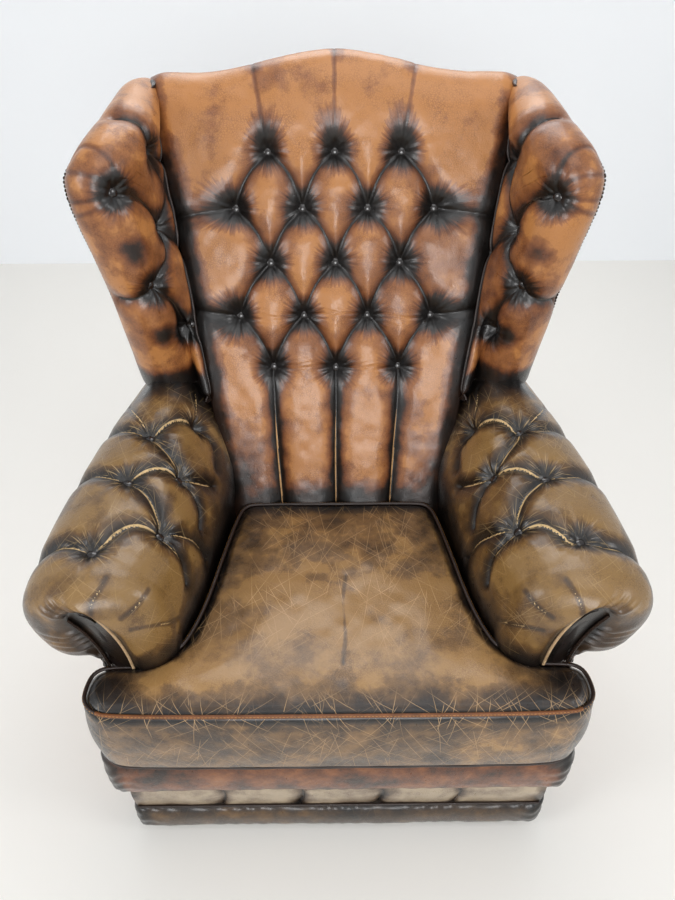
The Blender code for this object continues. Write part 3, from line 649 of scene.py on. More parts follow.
        # hairlines of raw hide that fan out round each button, from 10 to 40 mm off it
        comb = add(tree, "ShaderNodeVectorMath", MULTIPLY, _0=rub, _1=(17.0, 17.0, 30.0))
        hair = add(
            tree, "ShaderNodeMapRange", Value=flecks(tree, comb.outputs["Vector"], 1.0, 1.0),
            From_Min=0.62, From_Max=0.68, To_Min=0.0, To_Max=fans,
        ).outputs["Result"]
        for low, high in ((0.006, 0.016), (0.050, 0.026)):
            span = add(
                tree, "ShaderNodeMapRange", SOFT, Value=near, From_Min=low, From_Max=high,
            ).outputs["Result"]
            hair = add(tree, "ShaderNodeMath", MULTIPLY, _0=hair, _1=span).outputs[0]
        raw = add(tree, "ShaderNodeMath", MAXIMUM, _0=raw, _1=hair).outputs[0]
    if scratches:
        # scratches about 1 mm wide and 50 to 100 mm long, crossing at six slants. They are laid
        # out on the flat hide, which turns down over the front edge
        spot = add(tree, "ShaderNodeSeparateXYZ", Vector=place).outputs
        down = add(
            tree, "ShaderNodeMath", ADD, _0=spot["Y"], _1=spot["Z"]).outputs[0]
        unrolled = add(tree, "ShaderNodeCombineXYZ", X=spot["X"], Y=down).outputs[0]
        zone = flecks(tree, place, 11.0, 1.0, 0.5)
        for number, (slant, apart, long) in enumerate((
            (0.50, 0.013, 0.110), (-0.54, 0.014, 0.120), (0.92, 0.016, 0.090),
            (-1.00, 0.015, 0.100), (0.16, 0.019, 0.120), (-0.20, 0.021, 0.090),
        )):
            laid = add(
                tree, "ShaderNodeMapping", {"vector_type": "TEXTURE"}, Vector=unrolled,
                Location=(0.31 * number, 0.17 * number, 0.0), Rotation=(0.0, 0.0, slant),
                Scale=(apart, long, 1.0),
            ).outputs["Vector"]
            cell = add(
                tree, "ShaderNodeTexVoronoi", {"feature": "F1", "voronoi_dimensions": "2D"},
                Vector=laid, Scale=1.0).outputs
            away = add(
                tree, "ShaderNodeVectorMath", SUBTRACT, _0=laid, _1=cell["Position"],
            ).outputs[0]
            away = add(tree, "ShaderNodeSeparateXYZ", Vector=away).outputs
            chance = add(tree, "ShaderNodeSeparateColor", Color=cell["Color"]).outputs
            lean, bow = (
                add(tree, "ShaderNodeMath", MULTIPLY_ADD, _0=luck, _1=2 * most, _2=-most).outputs[0]
                for luck, most in ((chance[0], 0.4), (chance[1], 0.5)))
            off = bow
            for more in (lean, away["X"]):
                off = add(
                    tree, "ShaderNodeMath", MULTIPLY_ADD, _0=off, _1=away["Y"], _2=more,
                ).outputs[0]
            off = add(tree, "ShaderNodeMath", ABSOLUTE, _0=off).outputs[0]
            end = add(tree, "ShaderNodeMath", ABSOLUTE, _0=away["Y"]).outputs[0]
            end = add(
                tree, "ShaderNodeMapRange", SOFT, Value=end, From_Min=0.42, From_Max=0.26,
            ).outputs["Result"]
            score = add(
                tree, "ShaderNodeMapRange", Value=off, From_Min=0.0002 / apart,
                From_Max=0.0006 / apart, To_Min=scratches, To_Max=0.0).outputs["Result"]
            picked = add(
                tree, "ShaderNodeMath", ADD, _0=zone, _1=chance[2]).outputs[0]
            faint = add(
                tree, "ShaderNodeMapRange", SOFT, Value=picked, From_Min=0.85, From_Max=1.35,
            ).outputs["Result"]
            for gate in (faint, wear, end):
                score = add(tree, "ShaderNodeMath", MULTIPLY, _0=score, _1=gate).outputs[0]
            raw = add(tree, "ShaderNodeMath", MAXIMUM, _0=raw, _1=score).outputs[0]
    colour = add(
        tree, "ShaderNodeMix", {"data_type": "RGBA"}, _0=raw, _6=colour, _7=worn,
    ).outputs[2]
    tree.links.new(colour, shader.inputs["Base Color"])

    # grain: cells 1.3 mm across, with wrinkles of 6 mm between
    grain = add(
        tree, "ShaderNodeTexVoronoi", {"feature": "F1"}, Vector=bent, Scale=760.0,
    ).outputs["Distance"]
    wrinkle = flecks(tree, bent, 170.0, 4.0, 0.7, (1.0, 1.0, 0.55))
    relief = wrinkle
    for mark, high in ((grain, 0.35), (crack, -0.45), (raw, -0.30)):
        relief = add(
            tree, "ShaderNodeMath", MULTIPLY_ADD, _0=mark, _1=high, _2=relief).outputs[0]
    skin = add(
        tree, "ShaderNodeBump", Strength=0.42, Distance=0.0012, Height=relief,
    ).outputs["Normal"]
    tree.links.new(skin, shader.inputs["Normal"])
    matt = add(
        tree, "ShaderNodeMapRange", Value=wrinkle, From_Min=0.3, From_Max=0.7, To_Min=0.26,
        To_Max=0.42,
    ).outputs["Result"]
    matt = add(
        tree, "ShaderNodeMath", MULTIPLY_ADD, _0=raw, _1=0.22, _2=matt,
    ).outputs[0]
    tree.links.new(matt, shader.inputs["Roughness"])
    for name, value in (("IOR", 1.44), ("Coat Weight", 0.45), ("Coat Roughness", 0.22)):
        shader.inputs[name].default_value = value
    return made


def plain_finish(name, colour, rough, metallic=0.0, coat=0.0, bump=None, spots=None):
    """A finish of one colour, clouded by a darker one, with a fine relief."""
    made = bpy.data.materials.new(name)
    made.use_nodes = True
    tree = made.node_tree
    shader = tree.nodes["Principled BSDF"]
    place = add(tree, "ShaderNodeTexCoord").outputs["Object"]
    cloud = flecks(tree, place, 60.0, 5.0)
    mixed = add(
        tree, "ShaderNodeMix", {"data_type": "RGBA"}, _0=cloud, _6=colour,
        _7=spots or tuple(c * 0.6 for c in colour[:3]) + (1.0,),
    )
    tree.links.new(mixed.outputs[2], shader.inputs["Base Color"])
    low, high = rough
    matt = add(tree, "ShaderNodeMapRange", Value=cloud, To_Min=low, To_Max=high)
    tree.links.new(matt.outputs["Result"], shader.inputs["Roughness"])
    shader.inputs["Metallic"].default_value = metallic
    shader.inputs["Coat Weight"].default_value = coat
    scale, depth, stretch = bump or (700.0, 0.0002, (1, 1, 1))
    relief = flecks(tree, place, scale, 3.0, 0.6, stretch)
    skin = add(tree, "ShaderNodeBump", Strength=0.5, Distance=depth, Height=relief)
    tree.links.new(skin.outputs["Normal"], shader.inputs["Normal"])
    return made


CORDED = (420.0, 0.0005, (1, 1, 1))    # relief of a hide-covered cord: 2.4 mm wrinkles


def finishes():
    """The file's materials, with every finish of the chair among them."""
    made = bpy.data.materials
    if "antique_tan_hide" in made:
        return made
    c = colours()
    tan, chestnut, olive, umber, black, worn = (
        tuple(value) for value in (c.tan, c.chestnut, c.olive, c.umber, c.black, c.worn)
    )
    antique_hide("antique_tan_hide", (
        (-0.12, linear("B87C44")), (0.12, tan), (0.44, chestnut), (0.74, linear("2C1A10")),
        (0.97, black),
    ), worn)
    antique_hide("worn_olive_hide", (
        (-0.12, linear("8A6A3C")), (0.14, olive), (0.42, umber), (0.74, linear("251A11")),
        (0.97, black),
    ), linear("D2B27E"), scratches=0.25, fans=0.45, halo_reach=(0.022, 0.037))
    # the seat's hide is the arms', worn thinner and redder under the sitter
    antique_hide("creased_seat_hide", (
        (-0.12, linear("A07A48")), (0.12, linear("80603A")), (0.42, linear("4C3823")),
        (0.72, linear("271C14")), (0.97, black),
    ), linear("D2AC7C"), scratches=0.85)
    # the base's band: dull greyish tan
    antique_hide("greyish_band_hide", (
        (-0.12, linear("B8A68C")), (0.14, linear("A08E78")), (0.42, linear("705E4C")),
        (0.74, linear("32271E")), (0.97, black),
    ), worn)
    # black-dyed hide, glazed: near black, with a satin streak along its length
    plain_finish("glazed_facing_hide", linear("1C1411"), (0.22, 0.36), coat=0.3)
    # buttons covered in the same black hide, polished by wear: a small hard highlight
    plain_finish("polished_button_hide", tuple(c.button), (0.16, 0.28), coat=0.6)
    # hide-covered cord, its dye worn off along the top: pale tan with dark gaps
    for name, colour, rough, gaps in (
        ("worn_welt_hide", "E2C79E", (0.45, 0.65), linear("9A7048")),
        ("orange_welt_hide", "9A5C2C", (0.40, 0.60), linear("2E1A10")),
        ("dark_welt_hide", "2B1B13", (0.30, 0.50), None),
    ):
        plain_finish(name, linear(colour), rough, bump=CORDED, spots=gaps)
    # waxed linen thread, orange-brown
    plain_finish("waxed_thread", linear("C08A4A"), (0.5, 0.7))
    # steel nails lacquered antique brown: dull heads with a small warm glint
    plain_finish(
        "lacquered_nails", linear("3A2A20"), (0.25, 0.45), metallic=0.85, spots=linear("17110E"))
    # sawn beech: pale straw, with a long grain and saw marks
    plain_finish(
        "sawn_beech", linear("C39A68"), (0.55, 0.75), bump=(300.0, 0.0006, (1, 1, 0.08)),
        spots=linear("A87B4B"))
    # drawn spring wire: grey steel with a faint oil film
    plain_finish("spring_wire", linear("7A7D80"), (0.25, 0.40), metallic=1.0)
    # jute hessian, 4 threads to the cm
    plain_finish(
        "jute_hessian", linear("9A8058"), (0.85, 0.95), bump=(420.0, 0.0010, (1, 1, 1)),
        spots=linear("7D6440"))
    # open-cell foam
    plain_finish(
        "open_foam", linear("E0D6B8"), (0.90, 1.0), bump=(900.0, 0.0010, (1, 1, 1)),
        spots=linear("CFC29A"))
    # black bonded lining
    plain_finish(
        "bonded_lining", linear("1B1A1A"), (0.85, 0.95), bump=(1200.0, 0.0003, (1, 1, 1)))
    # moulded nylon glide
    plain_finish("moulded_glide", linear("151515"), (0.35, 0.55))
    return made


def inputs(tree, *wanted):
    """Adds the tree's named inputs and gives its input node."""
    for name, kind in wanted:
        tree.interface.new_socket(name, in_out="INPUT", socket_type=kind)
    return tree.nodes.new("NodeGroupInput")


def bead_tree():
    """Sets a flattened bead on every point, turned to its surface: nails, buttons, stitches."""
    tree = bpy.data.node_groups.get("bead_on_each_point")
    if tree:
        return tree
    tree = bpy.data.node_groups.new("bead_on_each_point", "GeometryNodeTree")
    given = inputs(
        tree, ("Points", "NodeSocketGeometry"), ("Size", "NodeSocketVector"),
        ("Segments", "NodeSocketInt"), ("Rings", "NodeSocketInt"), ("Uneven", "NodeSocketFloat"),
        ("Seed", "NodeSocketInt"), ("Finish", "NodeSocketMaterial"),
    ).outputs
    tree.interface.new_socket("Beads", in_out="OUTPUT", socket_type="NodeSocketGeometry")
    ball = add(
        tree, "GeometryNodeMeshUVSphere", Segments=given["Segments"], Rings=given["Rings"],
        Radius=1.0)
    bead = add(tree, "GeometryNodeTransform", Geometry=ball.outputs["Mesh"], Scale=given["Size"])
    bead = add(tree, "GeometryNodeSetShadeSmooth", _0=bead.outputs[0])
    facing = add(
        tree, "GeometryNodeInputNamedAttribute", {"data_type": "FLOAT_VECTOR"}, Name="facing")
    along = add(
        tree, "GeometryNodeInputNamedAttribute", {"data_type": "FLOAT_VECTOR"}, Name="along")
    turn = add(
        tree, "FunctionNodeAlignRotationToVector", {"axis": "Z"},
        Vector=facing.outputs["Attribute"])
    turn = add(
        tree, "FunctionNodeAlignRotationToVector", {"axis": "X", "pivot_axis": "Z"},
        Rotation=turn.outputs[0], Vector=along.outputs["Attribute"])
    least = add(tree, "ShaderNodeMath", SUBTRACT, _0=1.0, _1=given["Uneven"])
    most = add(tree, "ShaderNodeMath", ADD, _0=1.0, _1=given["Uneven"])
    odd = add(tree, "FunctionNodeRandomValue", {"data_type": "FLOAT"})
    tree.links.new(least.outputs[0], odd.inputs[2])
    tree.links.new(most.outputs[0], odd.inputs[3])
    tree.links.new(given["Seed"], odd.inputs["Seed"])
    laid = add(
        tree, "GeometryNodeInstanceOnPoints", Points=given["Points"], Instance=bead.outputs[0],
        Rotation=turn.outputs[0])
    tree.links.new(odd.outputs[1], laid.inputs["Scale"])
    real = add(tree, "GeometryNodeRealizeInstances", Geometry=laid.outputs[0])
    done = add(tree, "GeometryNodeSetMaterial", Geometry=real.outputs[0], Material=given["Finish"])
    add(tree, "NodeGroupOutput", _0=done.outputs[0])
    return tree


def welt_tree():
    """Runs a round welt along every line of edges."""
    tree = bpy.data.node_groups.get("welt_along_line")
    if tree:
        return tree
    tree = bpy.data.node_groups.new("welt_along_line", "GeometryNodeTree")
    given = inputs(
        tree, ("Line", "NodeSocketGeometry"), ("Radius", "NodeSocketFloat"),
        ("Sides", "NodeSocketInt"), ("Finish", "NodeSocketMaterial"),
    ).outputs
    tree.interface.new_socket("Welt", in_out="OUTPUT", socket_type="NodeSocketGeometry")
    line = add(tree, "GeometryNodeMeshToCurve", Mesh=given["Line"])
    ring = add(
        tree, "GeometryNodeCurvePrimitiveCircle", {"mode": "RADIUS"}, Resolution=given["Sides"])
    tree.links.new(given["Radius"], ring.inputs["Radius"])
    tube = add(
        tree, "GeometryNodeCurveToMesh", Curve=line.outputs[0], Profile_Curve=ring.outputs[0],
        Fill_Caps=True)
    smooth = add(tree, "GeometryNodeSetShadeSmooth", _0=tube.outputs[0])
    real = add(tree, "GeometryNodeRealizeInstances", Geometry=smooth.outputs[0])
    done = add(tree, "GeometryNodeSetMaterial", Geometry=real.outputs[0], Material=given["Finish"])
    add(tree, "NodeGroupOutput", _0=done.outputs[0])
    return tree


def grown(name, mesh, tree, values):
    """The plain mesh that a tree makes of this mesh."""
    seed = bpy.data.objects.new(name + "_seed", mesh)
    modifier = seed.modifiers.new("made", "NODES")
    modifier.node_group = tree
    for item in tree.interface.items_tree:
        if item.in_out == "INPUT" and item.name in values:
            modifier[item.identifier] = values[item.name]
    bpy.context.scene.collection.objects.link(seed)
    graph = bpy.context.evaluated_depsgraph_get()
    made = bpy.data.meshes.new_from_object(seed.evaluated_get(graph))
    bpy.data.objects.remove(seed)
    made.name = name
    if not made.polygons:
        raise RuntimeError(name + " came out empty")
    piece = bpy.data.objects.new(name, made)
    bpy.context.scene.collection.objects.link(piece)
    return piece


def beads(name, places, facing, along, finish, size, fineness=(8, 5), uneven=0.06, seed=1):
    """Beads at these depths, each turned to its surface."""
    mesh = bpy.data.meshes.new(name)
    mesh.from_pydata((np.asarray(places) + (0.0, SHIFT, 0.0)).tolist(), [], [])
    for mark, values in (("facing", facing), ("along", along)):
        data = mesh.attributes.new(mark, "FLOAT_VECTOR", "POINT").data
        data.foreach_set("vector", np.asarray(values, dtype=np.float32).ravel())
    return grown(name, mesh, bead_tree(), {
        "Size": size, "Segments": fineness[0], "Rings": fineness[1], "Uneven": uneven,
        "Seed": seed, "Finish": finish,
    })


def welts(name, lines, radius, finish, sides=10):
    """Welts along these lines of depths."""
    verts, edges = [], []
    for line in lines:
        first = len(verts)
        closed = np.linalg.norm(np.asarray(line[0]) - np.asarray(line[-1])) < 1e-6
        run = line[:-1] if closed else line
        verts += [(x, y + SHIFT, z) for x, y, z in run]
        edges += [(i, i + 1) for i in range(first, first + len(run) - 1)]
        if closed:
            edges.append((first + len(run) - 1, first))
    mesh = bpy.data.meshes.new(name)
    mesh.from_pydata(verts, edges, [])
    return grown(name, mesh, welt_tree(), {"Radius": radius, "Sides": sides, "Finish": finish})


def along_run(run):
    """The direction of a run of points at each of its points."""
    way = np.gradient(np.asarray(run, float), axis=0)
    return way / np.maximum(np.linalg.norm(way, axis=1, keepdims=True), 1e-9)


BUTTON_PITCH_X = 0.109
BUTTON_PITCH_UP = 0.0885
BUTTON_ROW_ONE = 0.242
BUTTON_ROWS = (3, 4, 3, 4, 3)
COVER_PROUD = 0.004
BACK_RUN = 0.86               # up the back's face, over the crest and down behind
CREST_SMUDGES = (-0.121, 0.0, 0.121)


def back_grid(step):
    """The line of the back before it is buttoned: up its face, over the crest, down behind."""
    rows = int(BACK_RUN / step)
    columns = []
    for u in np.linspace(-1, 1, int(2 * BACK_HALF_CREST / step)):
        top = crest_height(u * BACK_HALF_CREST)
        side = [(back_face(z) + COVER_PROUD, z) for z in (0.36, 0.60, top - 0.10, top - 0.045)]
        side += [
            (back_face(top - 0.025) + 0.006, top - 0.025),
            (back_face(top - 0.009) + 0.014, top - 0.009),
            (back_face(top) + 0.030, top),
            (BACK_TOP_DEPTH - 0.018, top - 0.004),
            (BACK_TOP_DEPTH, top - 0.024),
            (BACK_TOP_DEPTH + 0.005, top - 0.050),
            (outside_back(PANEL_TOP) + 0.003, PANEL_TOP),
        ]
        run = rounded(side, rows, 3)
        columns.append(np.stack([u * back_half(run[:, 1]), run[:, 0], run[:, 1]], axis=1))
    return np.stack(columns, axis=1)


def nearest(grid, place):
    miss = ((grid - np.array(place)) ** 2).sum(axis=2)
    return np.unravel_index(np.argmin(miss), miss.shape)


def make_back(step, pillow):
    """The buttoned face of the back, its marks, and where its buttons sit."""
    grid = back_grid(step)
    out = facing_out(grid[: grid.shape[0] // 2], (0, -1, 0.3))
    out = facing_out(grid, out[10, out.shape[1] // 2])
    tuft = Tuft(grid, out)
    slope = math.atan2(back_face(1.0) - back_face(0.0), 1.0)
    spots = []
    for row, count in enumerate(BUTTON_ROWS):
        up = BUTTON_ROW_ONE + BUTTON_PITCH_UP * (len(BUTTON_ROWS) - 1 - row)
        z = CUSHION_BACK + up * math.cos(slope)
        line = []
        for index in range(count):
            x = BUTTON_PITCH_X * (index - (count - 1) / 2)
            line.append(nearest(grid, (x, back_face(z) + COVER_PROUD, z)))
        spots.append(line)
    for line in spots:
        for i, j in line:
            tuft.buttons.append((grid[i, j], out[i, j]))

    def pleat(stops, strength=1.0, lip=1.0):
        tuft.pleats.append((trail(grid, stops), strength, lip))

    for upper, lower in zip(spots, spots[1:]):
        for a in upper:
            for b in lower:
                if abs(grid[a][0] - grid[b][0]) < BUTTON_PITCH_X * 0.75:
                    bow = 4 if grid[b][0] > grid[a][0] else -4
                    middle = ((a[0] + b[0]) / 2 + 3, (a[1] + b[1]) / 2 + bow)
                    pleat([a, middle, b], 1.0, math.copysign(1.0, bow))
    rows, columns = grid.shape[:2]
    for index, (i, j) in enumerate(spots[0]):
        lean = (index - 1) * 0.016 / step
        top = nearest(grid[: int(rows * 0.90)], (grid[i, j][0] * 1.10, 0.76, HEIGHT))[0]
        pleat([(i, j), ((i + top) / 2, j + lean * 0.3), (top + 12, j + lean)], 0.30)
    for index, (i, j) in enumerate(spots[-1]):
        pleat([(i, j), (i - 0.05 / step, j + (index - 1) * 2), (2, j + (index - 1) * 5)], 0.9, 1.0)
    for line, sink in ((spots[1], -2), (spots[3], 2)):
        for i, j in (line[0], line[-1]):
            edge = 0 if j < columns / 2 else columns - 1
            pleat([(i, j), (i + sink, (j + edge) / 2), (i + sink * 3, edge)], 0.75, -1.0)
    tuft.measure()
    # faint puckers run level between the buttons of the two lowest rows
    drawn = np.full(len(tuft.places), FAR_OFF)
    for line in (spots[3], spots[4]):
        for a, b in zip(line, line[1:]):
            drawn = np.minimum(drawn, to_path(tuft.places, tuft.out, trail(grid, [a, b], 5))[0])

    u = np.abs(np.linspace(-1, 1, columns))[None, :]
    rim = ((1 - u) * back_half(grid[:, :, 2])).ravel()
    deep, z = tuft.places[:, 1], tuft.places[:, 2]
    high = tuft.rise(pillow, slack=0.52, reach=0.036, spread=0.019, pit=0.003)
    groove = tuft.groove(0.0042 * tuft.sharp, raised=0.0022, sunk=0.0050)
    edge = 0.014 * (1 - np.minimum(rim / 0.034, 1.0)) ** 2
    tuck = 0.020 * (1 - np.minimum(rim / 0.0045, 1.0)) ** 1.5
    behind = smoothstep(0.755, 0.800, deep)
    shift = -0.018 + high - groove + tuft.puckers(height=0.0019, spread=0.018, seed=0.4)
    level = np.sin(tuft.places[:, 2] * 900 + 3 * np.sin(tuft.places[:, 0] * 60))
    shift -= 0.0011 * np.exp(-drawn / 0.0035) + 0.0004 * np.exp(-(drawn / 0.014) ** 2) * level
    shift = shift - edge + 0.0012 * lumps(tuft.places, 0.045, 3)
    shift = shift + 0.0005 * lumps(tuft.places, 0.016, 5)
    shown = tuft.pushed(shift * (1 - behind) - 0.002 * behind - tuck)

    halo = tuft.rub[:, 2].copy()
    for i, j in spots[0]:
        spot = grid[i, j]
        tall = np.linalg.norm((tuft.places - spot) * (1.05, 0.54, 0.54), axis=1)
        halo = np.where((z > spot[2]) & (tall < halo), tall, halo)
    # the outermost buttons of the rows of four are shaded out to the edges
    for i, j in (spots[row][end] for row in (1, 3) for end in (0, -1)):
        spot = grid[i, j]
        wide = np.linalg.norm((tuft.places - spot) * (0.52, 0.80, 0.80), axis=1)
        halo = np.where((np.abs(tuft.places[:, 0]) > abs(spot[0])) & (wide < halo), wide, halo)
    tuft.rub[:, 2] = halo
    # painted shade: dark along the sides where the back meets the wings, at its foot and in its
    # lower corners by the seat, and beside its lower folds; darker too on its turn behind the
    # crest, and three smudges of dark dye at the crest
    corner = smoothstep(0.09, 0.19, np.abs(tuft.places[:, 0])) * fade(0.45, 0.64, z)
    low_folds = np.exp(-(np.abs(tuft.fold) / 0.016) ** 2) * fade(0.60, 0.66, z)
    smudges = [
        np.linalg.norm((tuft.places - (x, 0.755, crest_height(x))) * (1.4, 0.8, 0.8), axis=1)
        for x in CREST_SMUDGES
    ]
    dye_and_shade = strongest(
        0.95 * fade(0.010, 0.058, rim) * (0.50 + 0.50 * fade(0.90, 1.00, z)),
        0.72 * fade(0.440, 0.490, z),
        0.85 * corner,
        0.62 * low_folds,
        0.35 * smoothstep(0.78, 0.81, deep),
        *(0.58 * fade(-0.010, 0.036, smudge) for smudge in smudges),
    )
    wear = np.clip(0.10 + 0.75 * fade(0.50, 0.66, z), 0, 1) * tuft.mid
    seats = [(shown[spot], out[spot]) for line in spots for spot in line]
    return shown, tuft.marks(dye_and_shade, wear), seats


WING_LEAD = (
    (0.500, 0.598), (0.500, 0.935), (0.512, 0.990), (0.528, 1.010), (0.552, 1.025),
    (0.590, 1.036), (0.640, 1.044), (0.700, 1.050), (0.740, 1.050), (0.772, 1.042), (0.789, 1.020),
)
WING_LEAD_LENGTH = 0.695
WING_OVER = 0.62 / WING_LEAD_LENGTH     # share of the lead at which it turns down behind
WING_BUTTONS = {
    -1: ((117, 193), (153, 151), (163, 227), (156, 287), (187, 329)),
    1: ((554, 198), (511, 162), (511, 230), (516, 288), (490, 330)),
}
# each pleat: a button, or none, where it starts, its way in the photo's left half, and a
# button where it ends; then its strength and which side of it is the raised one
WING_PLEATS = (
    (0, ((116, 174), (108, 158), (93, 149), (81, 150), (68, 162)), None, 0.5, 1),
    (0, ((113, 183), (88, 175), (66, 175)), None, 0.3, 1),
    (0, ((101, 199), (72, 201)), None, 0.3, 1),
    (0, ((98, 209), (78, 215)), None, 0.3, 1),
    (0, ((128, 196), (143, 201), (156, 214)), 2, 1.0, -1),
    (1, ((143, 126), (131, 119), (114, 117)), None, 1.0, 1),
    (1, ((164, 160), (176, 159)), None, 0.8, 1),
    (1, ((165, 181), (167, 199), (164, 214)), 2, 1.0, 1),
    (2, ((176, 239), (187, 252)), None, 0.9, 1),
    (2, ((168, 248), (167, 262), (162, 276)), 3, 1.0, 1),
    (3, ((138, 300), (118, 299)), None, 1.0, 1),
    (3, ((170, 298), (180, 312)), 4, 1.0, -1),
)
# each blot: its place in the photo's left half, where its dark ends, its rim, how dark it is
WING_BLOTS = (
    ((135, 251), -0.0050, 0.050, 0.74), ((165, 335), -0.0044, 0.044, 0.74),
    ((90, 178), 0.010, 0.040, 0.34),
)
PHOTO_MIDDLE = 337
NAIL_LINE = 0.021             # how far the wing's nails stand from its cover's outer edge
WING_SEAM = (0.598, 1.047)    # the inner seam's height at its foot and where it turns down
WING_GIRTH = 0.27             # round the wing, from its outer edge to its seam at the back


def side_pixel(pixel, side):
    """This place of the photo's left half, or its like in the right half."""
    return pixel if side < 0 else (2 * PHOTO_MIDDLE - pixel[0], pixel[1])


def wing_grid(side, step):
    lead = rounded(WING_LEAD, int(WING_LEAD_LENGTH / step), 2)
    way = np.gradient(lead, axis=0)
    way /= np.linalg.norm(way, axis=1, keepdims=True)
    rows = len(lead)
    grid = []
    for i, ((y, z), (ty, tz)) in enumerate(zip(lead, way)):
        share = i / (rows - 1)
        behind = smoothstep(WING_OVER, 1.0, share)
        risen = (WING_SEAM[1] - WING_SEAM[0]) * min(share / WING_OVER, 1.0)
        seam_z = WING_SEAM[0] + risen - 0.030 * behind
        seam_y = min(back_face(seam_z) + 0.006, 0.740) * (1 - behind) + 0.786 * behind
        seam_x = back_half(seam_z) - 0.013
        inward = np.array((tz, -ty))
        tip = math.exp(-((share / WING_OVER - 0.60) / 0.16) ** 2)
        outer = wing_x(y, z) - 0.003 + 0.009 * tip
        thick = min(WING_ROLL, outer - seam_x + 0.006)
        radius = thick / 2
        section = [(outer, *(np.array((y, z)) + inward * (radius + 0.010)))]
        for turn in np.linspace(0, math.pi, 7):
            spot = np.array((y, z)) + inward * radius * (1 - math.sin(turn))
            section.append((outer - radius + radius * math.cos(turn), *spot))
        section.append((seam_x + 0.010, seam_y - 0.014 * (1 - behind), seam_z))
        section.append((seam_x, seam_y + 0.002, seam_z))
        section.append((seam_x + 0.006, seam_y + 0.022 * (1 - behind), seam_z - 0.022 * behind))
        grid.append(rounded(section, int(WING_GIRTH / step), 2))
    return np.array(grid) * (side, 1, 1)


def pin(tuft, grid, out, buttons, pleats, side):
    """Puts a cover's buttons and pleats where the photo shows them."""
    spots = [seen_at(grid, out, pixel) for pixel in buttons]
    for spot in spots:
        tuft.buttons.append((grid[spot], out[spot]))
    for start, way, end, strength, lip in pleats:
        stops = [] if start is None else [spots[start]]
        stops += [seen_at(grid, out, side_pixel(pixel, side)) for pixel in way]
        stops += [] if end is None else [spots[end]]
        tuft.pleats.append((trail(grid, stops, 13), strength, -lip * side))
    return spots


def make_wing(side, step, pillow):
    grid = wing_grid(side, step)
    out = facing_out(grid, (-side * 0.4, -1, 0.1))
    tuft = Tuft(grid, out)
    spots = pin(tuft, grid, out, WING_BUTTONS[side], WING_PLEATS, side)
    tuft.measure()
    rows, columns = grid.shape[:2]
    across = np.tile(np.linspace(0, 1, columns), rows)
    width = np.repeat(np.linalg.norm(np.diff(grid, axis=1), axis=2).sum(axis=1), columns)
    outer_rim = across * width
    inner_rim = (1 - across) * width - 0.022
    foot = np.repeat(np.linspace(0, 1, rows), columns) * WING_LEAD_LENGTH
    high = tuft.rise(pillow, slack=0.50, reach=0.030, spread=0.017, pit=0.003)
    groove = tuft.groove(0.0040 * tuft.sharp, raised=0.0020, sunk=0.0048)
    shift = -0.012 + high - groove + tuft.puckers(height=0.0020, spread=0.017, seed=1.1)
    shift = shift * smoothstep(0.004, 0.030, outer_rim)
    shift -= 0.010 * fade(0.0, 0.020, inner_rim)
    shift -= 0.012 * fade(0.0, 0.030, foot) ** 2
    shift += 0.0010 * lumps(tuft.places, 0.040, 9)
    shown = tuft.pushed(shift)
    # a little darker all over; painted shade along the seam with the back, at the foot over the arm
    # and beside the folds near the buttons; darker too along the outer edge, and the blots darken
    # it further
    dye_and_shade = strongest(
        0.22,
        0.90 * fade(0.003, 0.020, outer_rim - 0.010),
        0.95 * fade(0.002, 0.024, inner_rim),
        0.95 * fade(0.040, 0.085, foot),
        0.62 * np.exp(-(np.abs(tuft.fold) / 0.016) ** 2 - tuft.off / 0.070),
    )
    for pixel, dark, rim, depth in WING_BLOTS:
        centre = grid[seen_at(grid, out, side_pixel(pixel, side))]
        far = np.linalg.norm(tuft.places - centre, axis=1)
        dye_and_shade = np.maximum(dye_and_shade, depth * fade(dark, rim, far))
    seats = [(shown[spot], out[spot]) for spot in spots]
    return shown, out, tuft.marks(dye_and_shade, 0.25 * tuft.mid), seats


ARM_BUTTONS = {
    -1: ((150, 432), (126, 477), (89, 549), (199, 426), (184, 477), (166, 533)),
    1: ((520, 426), (547, 473), (583, 536), (469, 430), (487, 475), (513, 528)),
}
ARM_PLEATS = (
    (0, ((157, 431), (171, 420), (190, 420)), 3, 1.0, -1),
    (0, ((157, 440), (167, 450), (176, 464)), 4, 1.0, 1),
    (1, ((138, 474), (153, 468), (170, 469)), 4, 1.0, -1),
    (1, ((137, 484), (149, 495), (158, 513)), 5, 1.0, 1),
    (2, ((102, 543), (117, 530), (136, 524), (153, 527)), 5, 1.0, -1),
    (2, ((70, 545), (50, 551), (36, 562)), None, 1.0, -1),
    (1, ((107, 476), (92, 476), (78, 484)), None, 0.9, -1),
    (0, ((132, 431), (118, 432), (108, 436)), None, 0.8, -1),
    (0, ((142, 424), (131, 408)), None, 0.6, 1),
    (3, ((206, 433), (215, 447), (216, 468)), None, 0.9, 1),
    (3, ((195, 405), (194, 390)), None, 0.5, 1),
    (4, ((198, 483), (214, 487)), None, 0.9, 1),
    (4, ((193, 492), (200, 512), (200, 528)), None, 0.9, 1),
    (5, ((171, 543), (183, 560), (187, 583)), None, 1.0, 1),
    (5, ((180, 534), (198, 542), (207, 560)), None, 0.9, 1),
    (None, ((91, 613), (94, 599), (99, 592), (107, 580)), None, 0.40, 1),
    (None, ((121, 616), (134, 608), (147, 591)), None, 0.40, 1),
    (None, ((131, 628), (147, 625), (165, 622), (176, 617)), None, 0.40, 1),
)
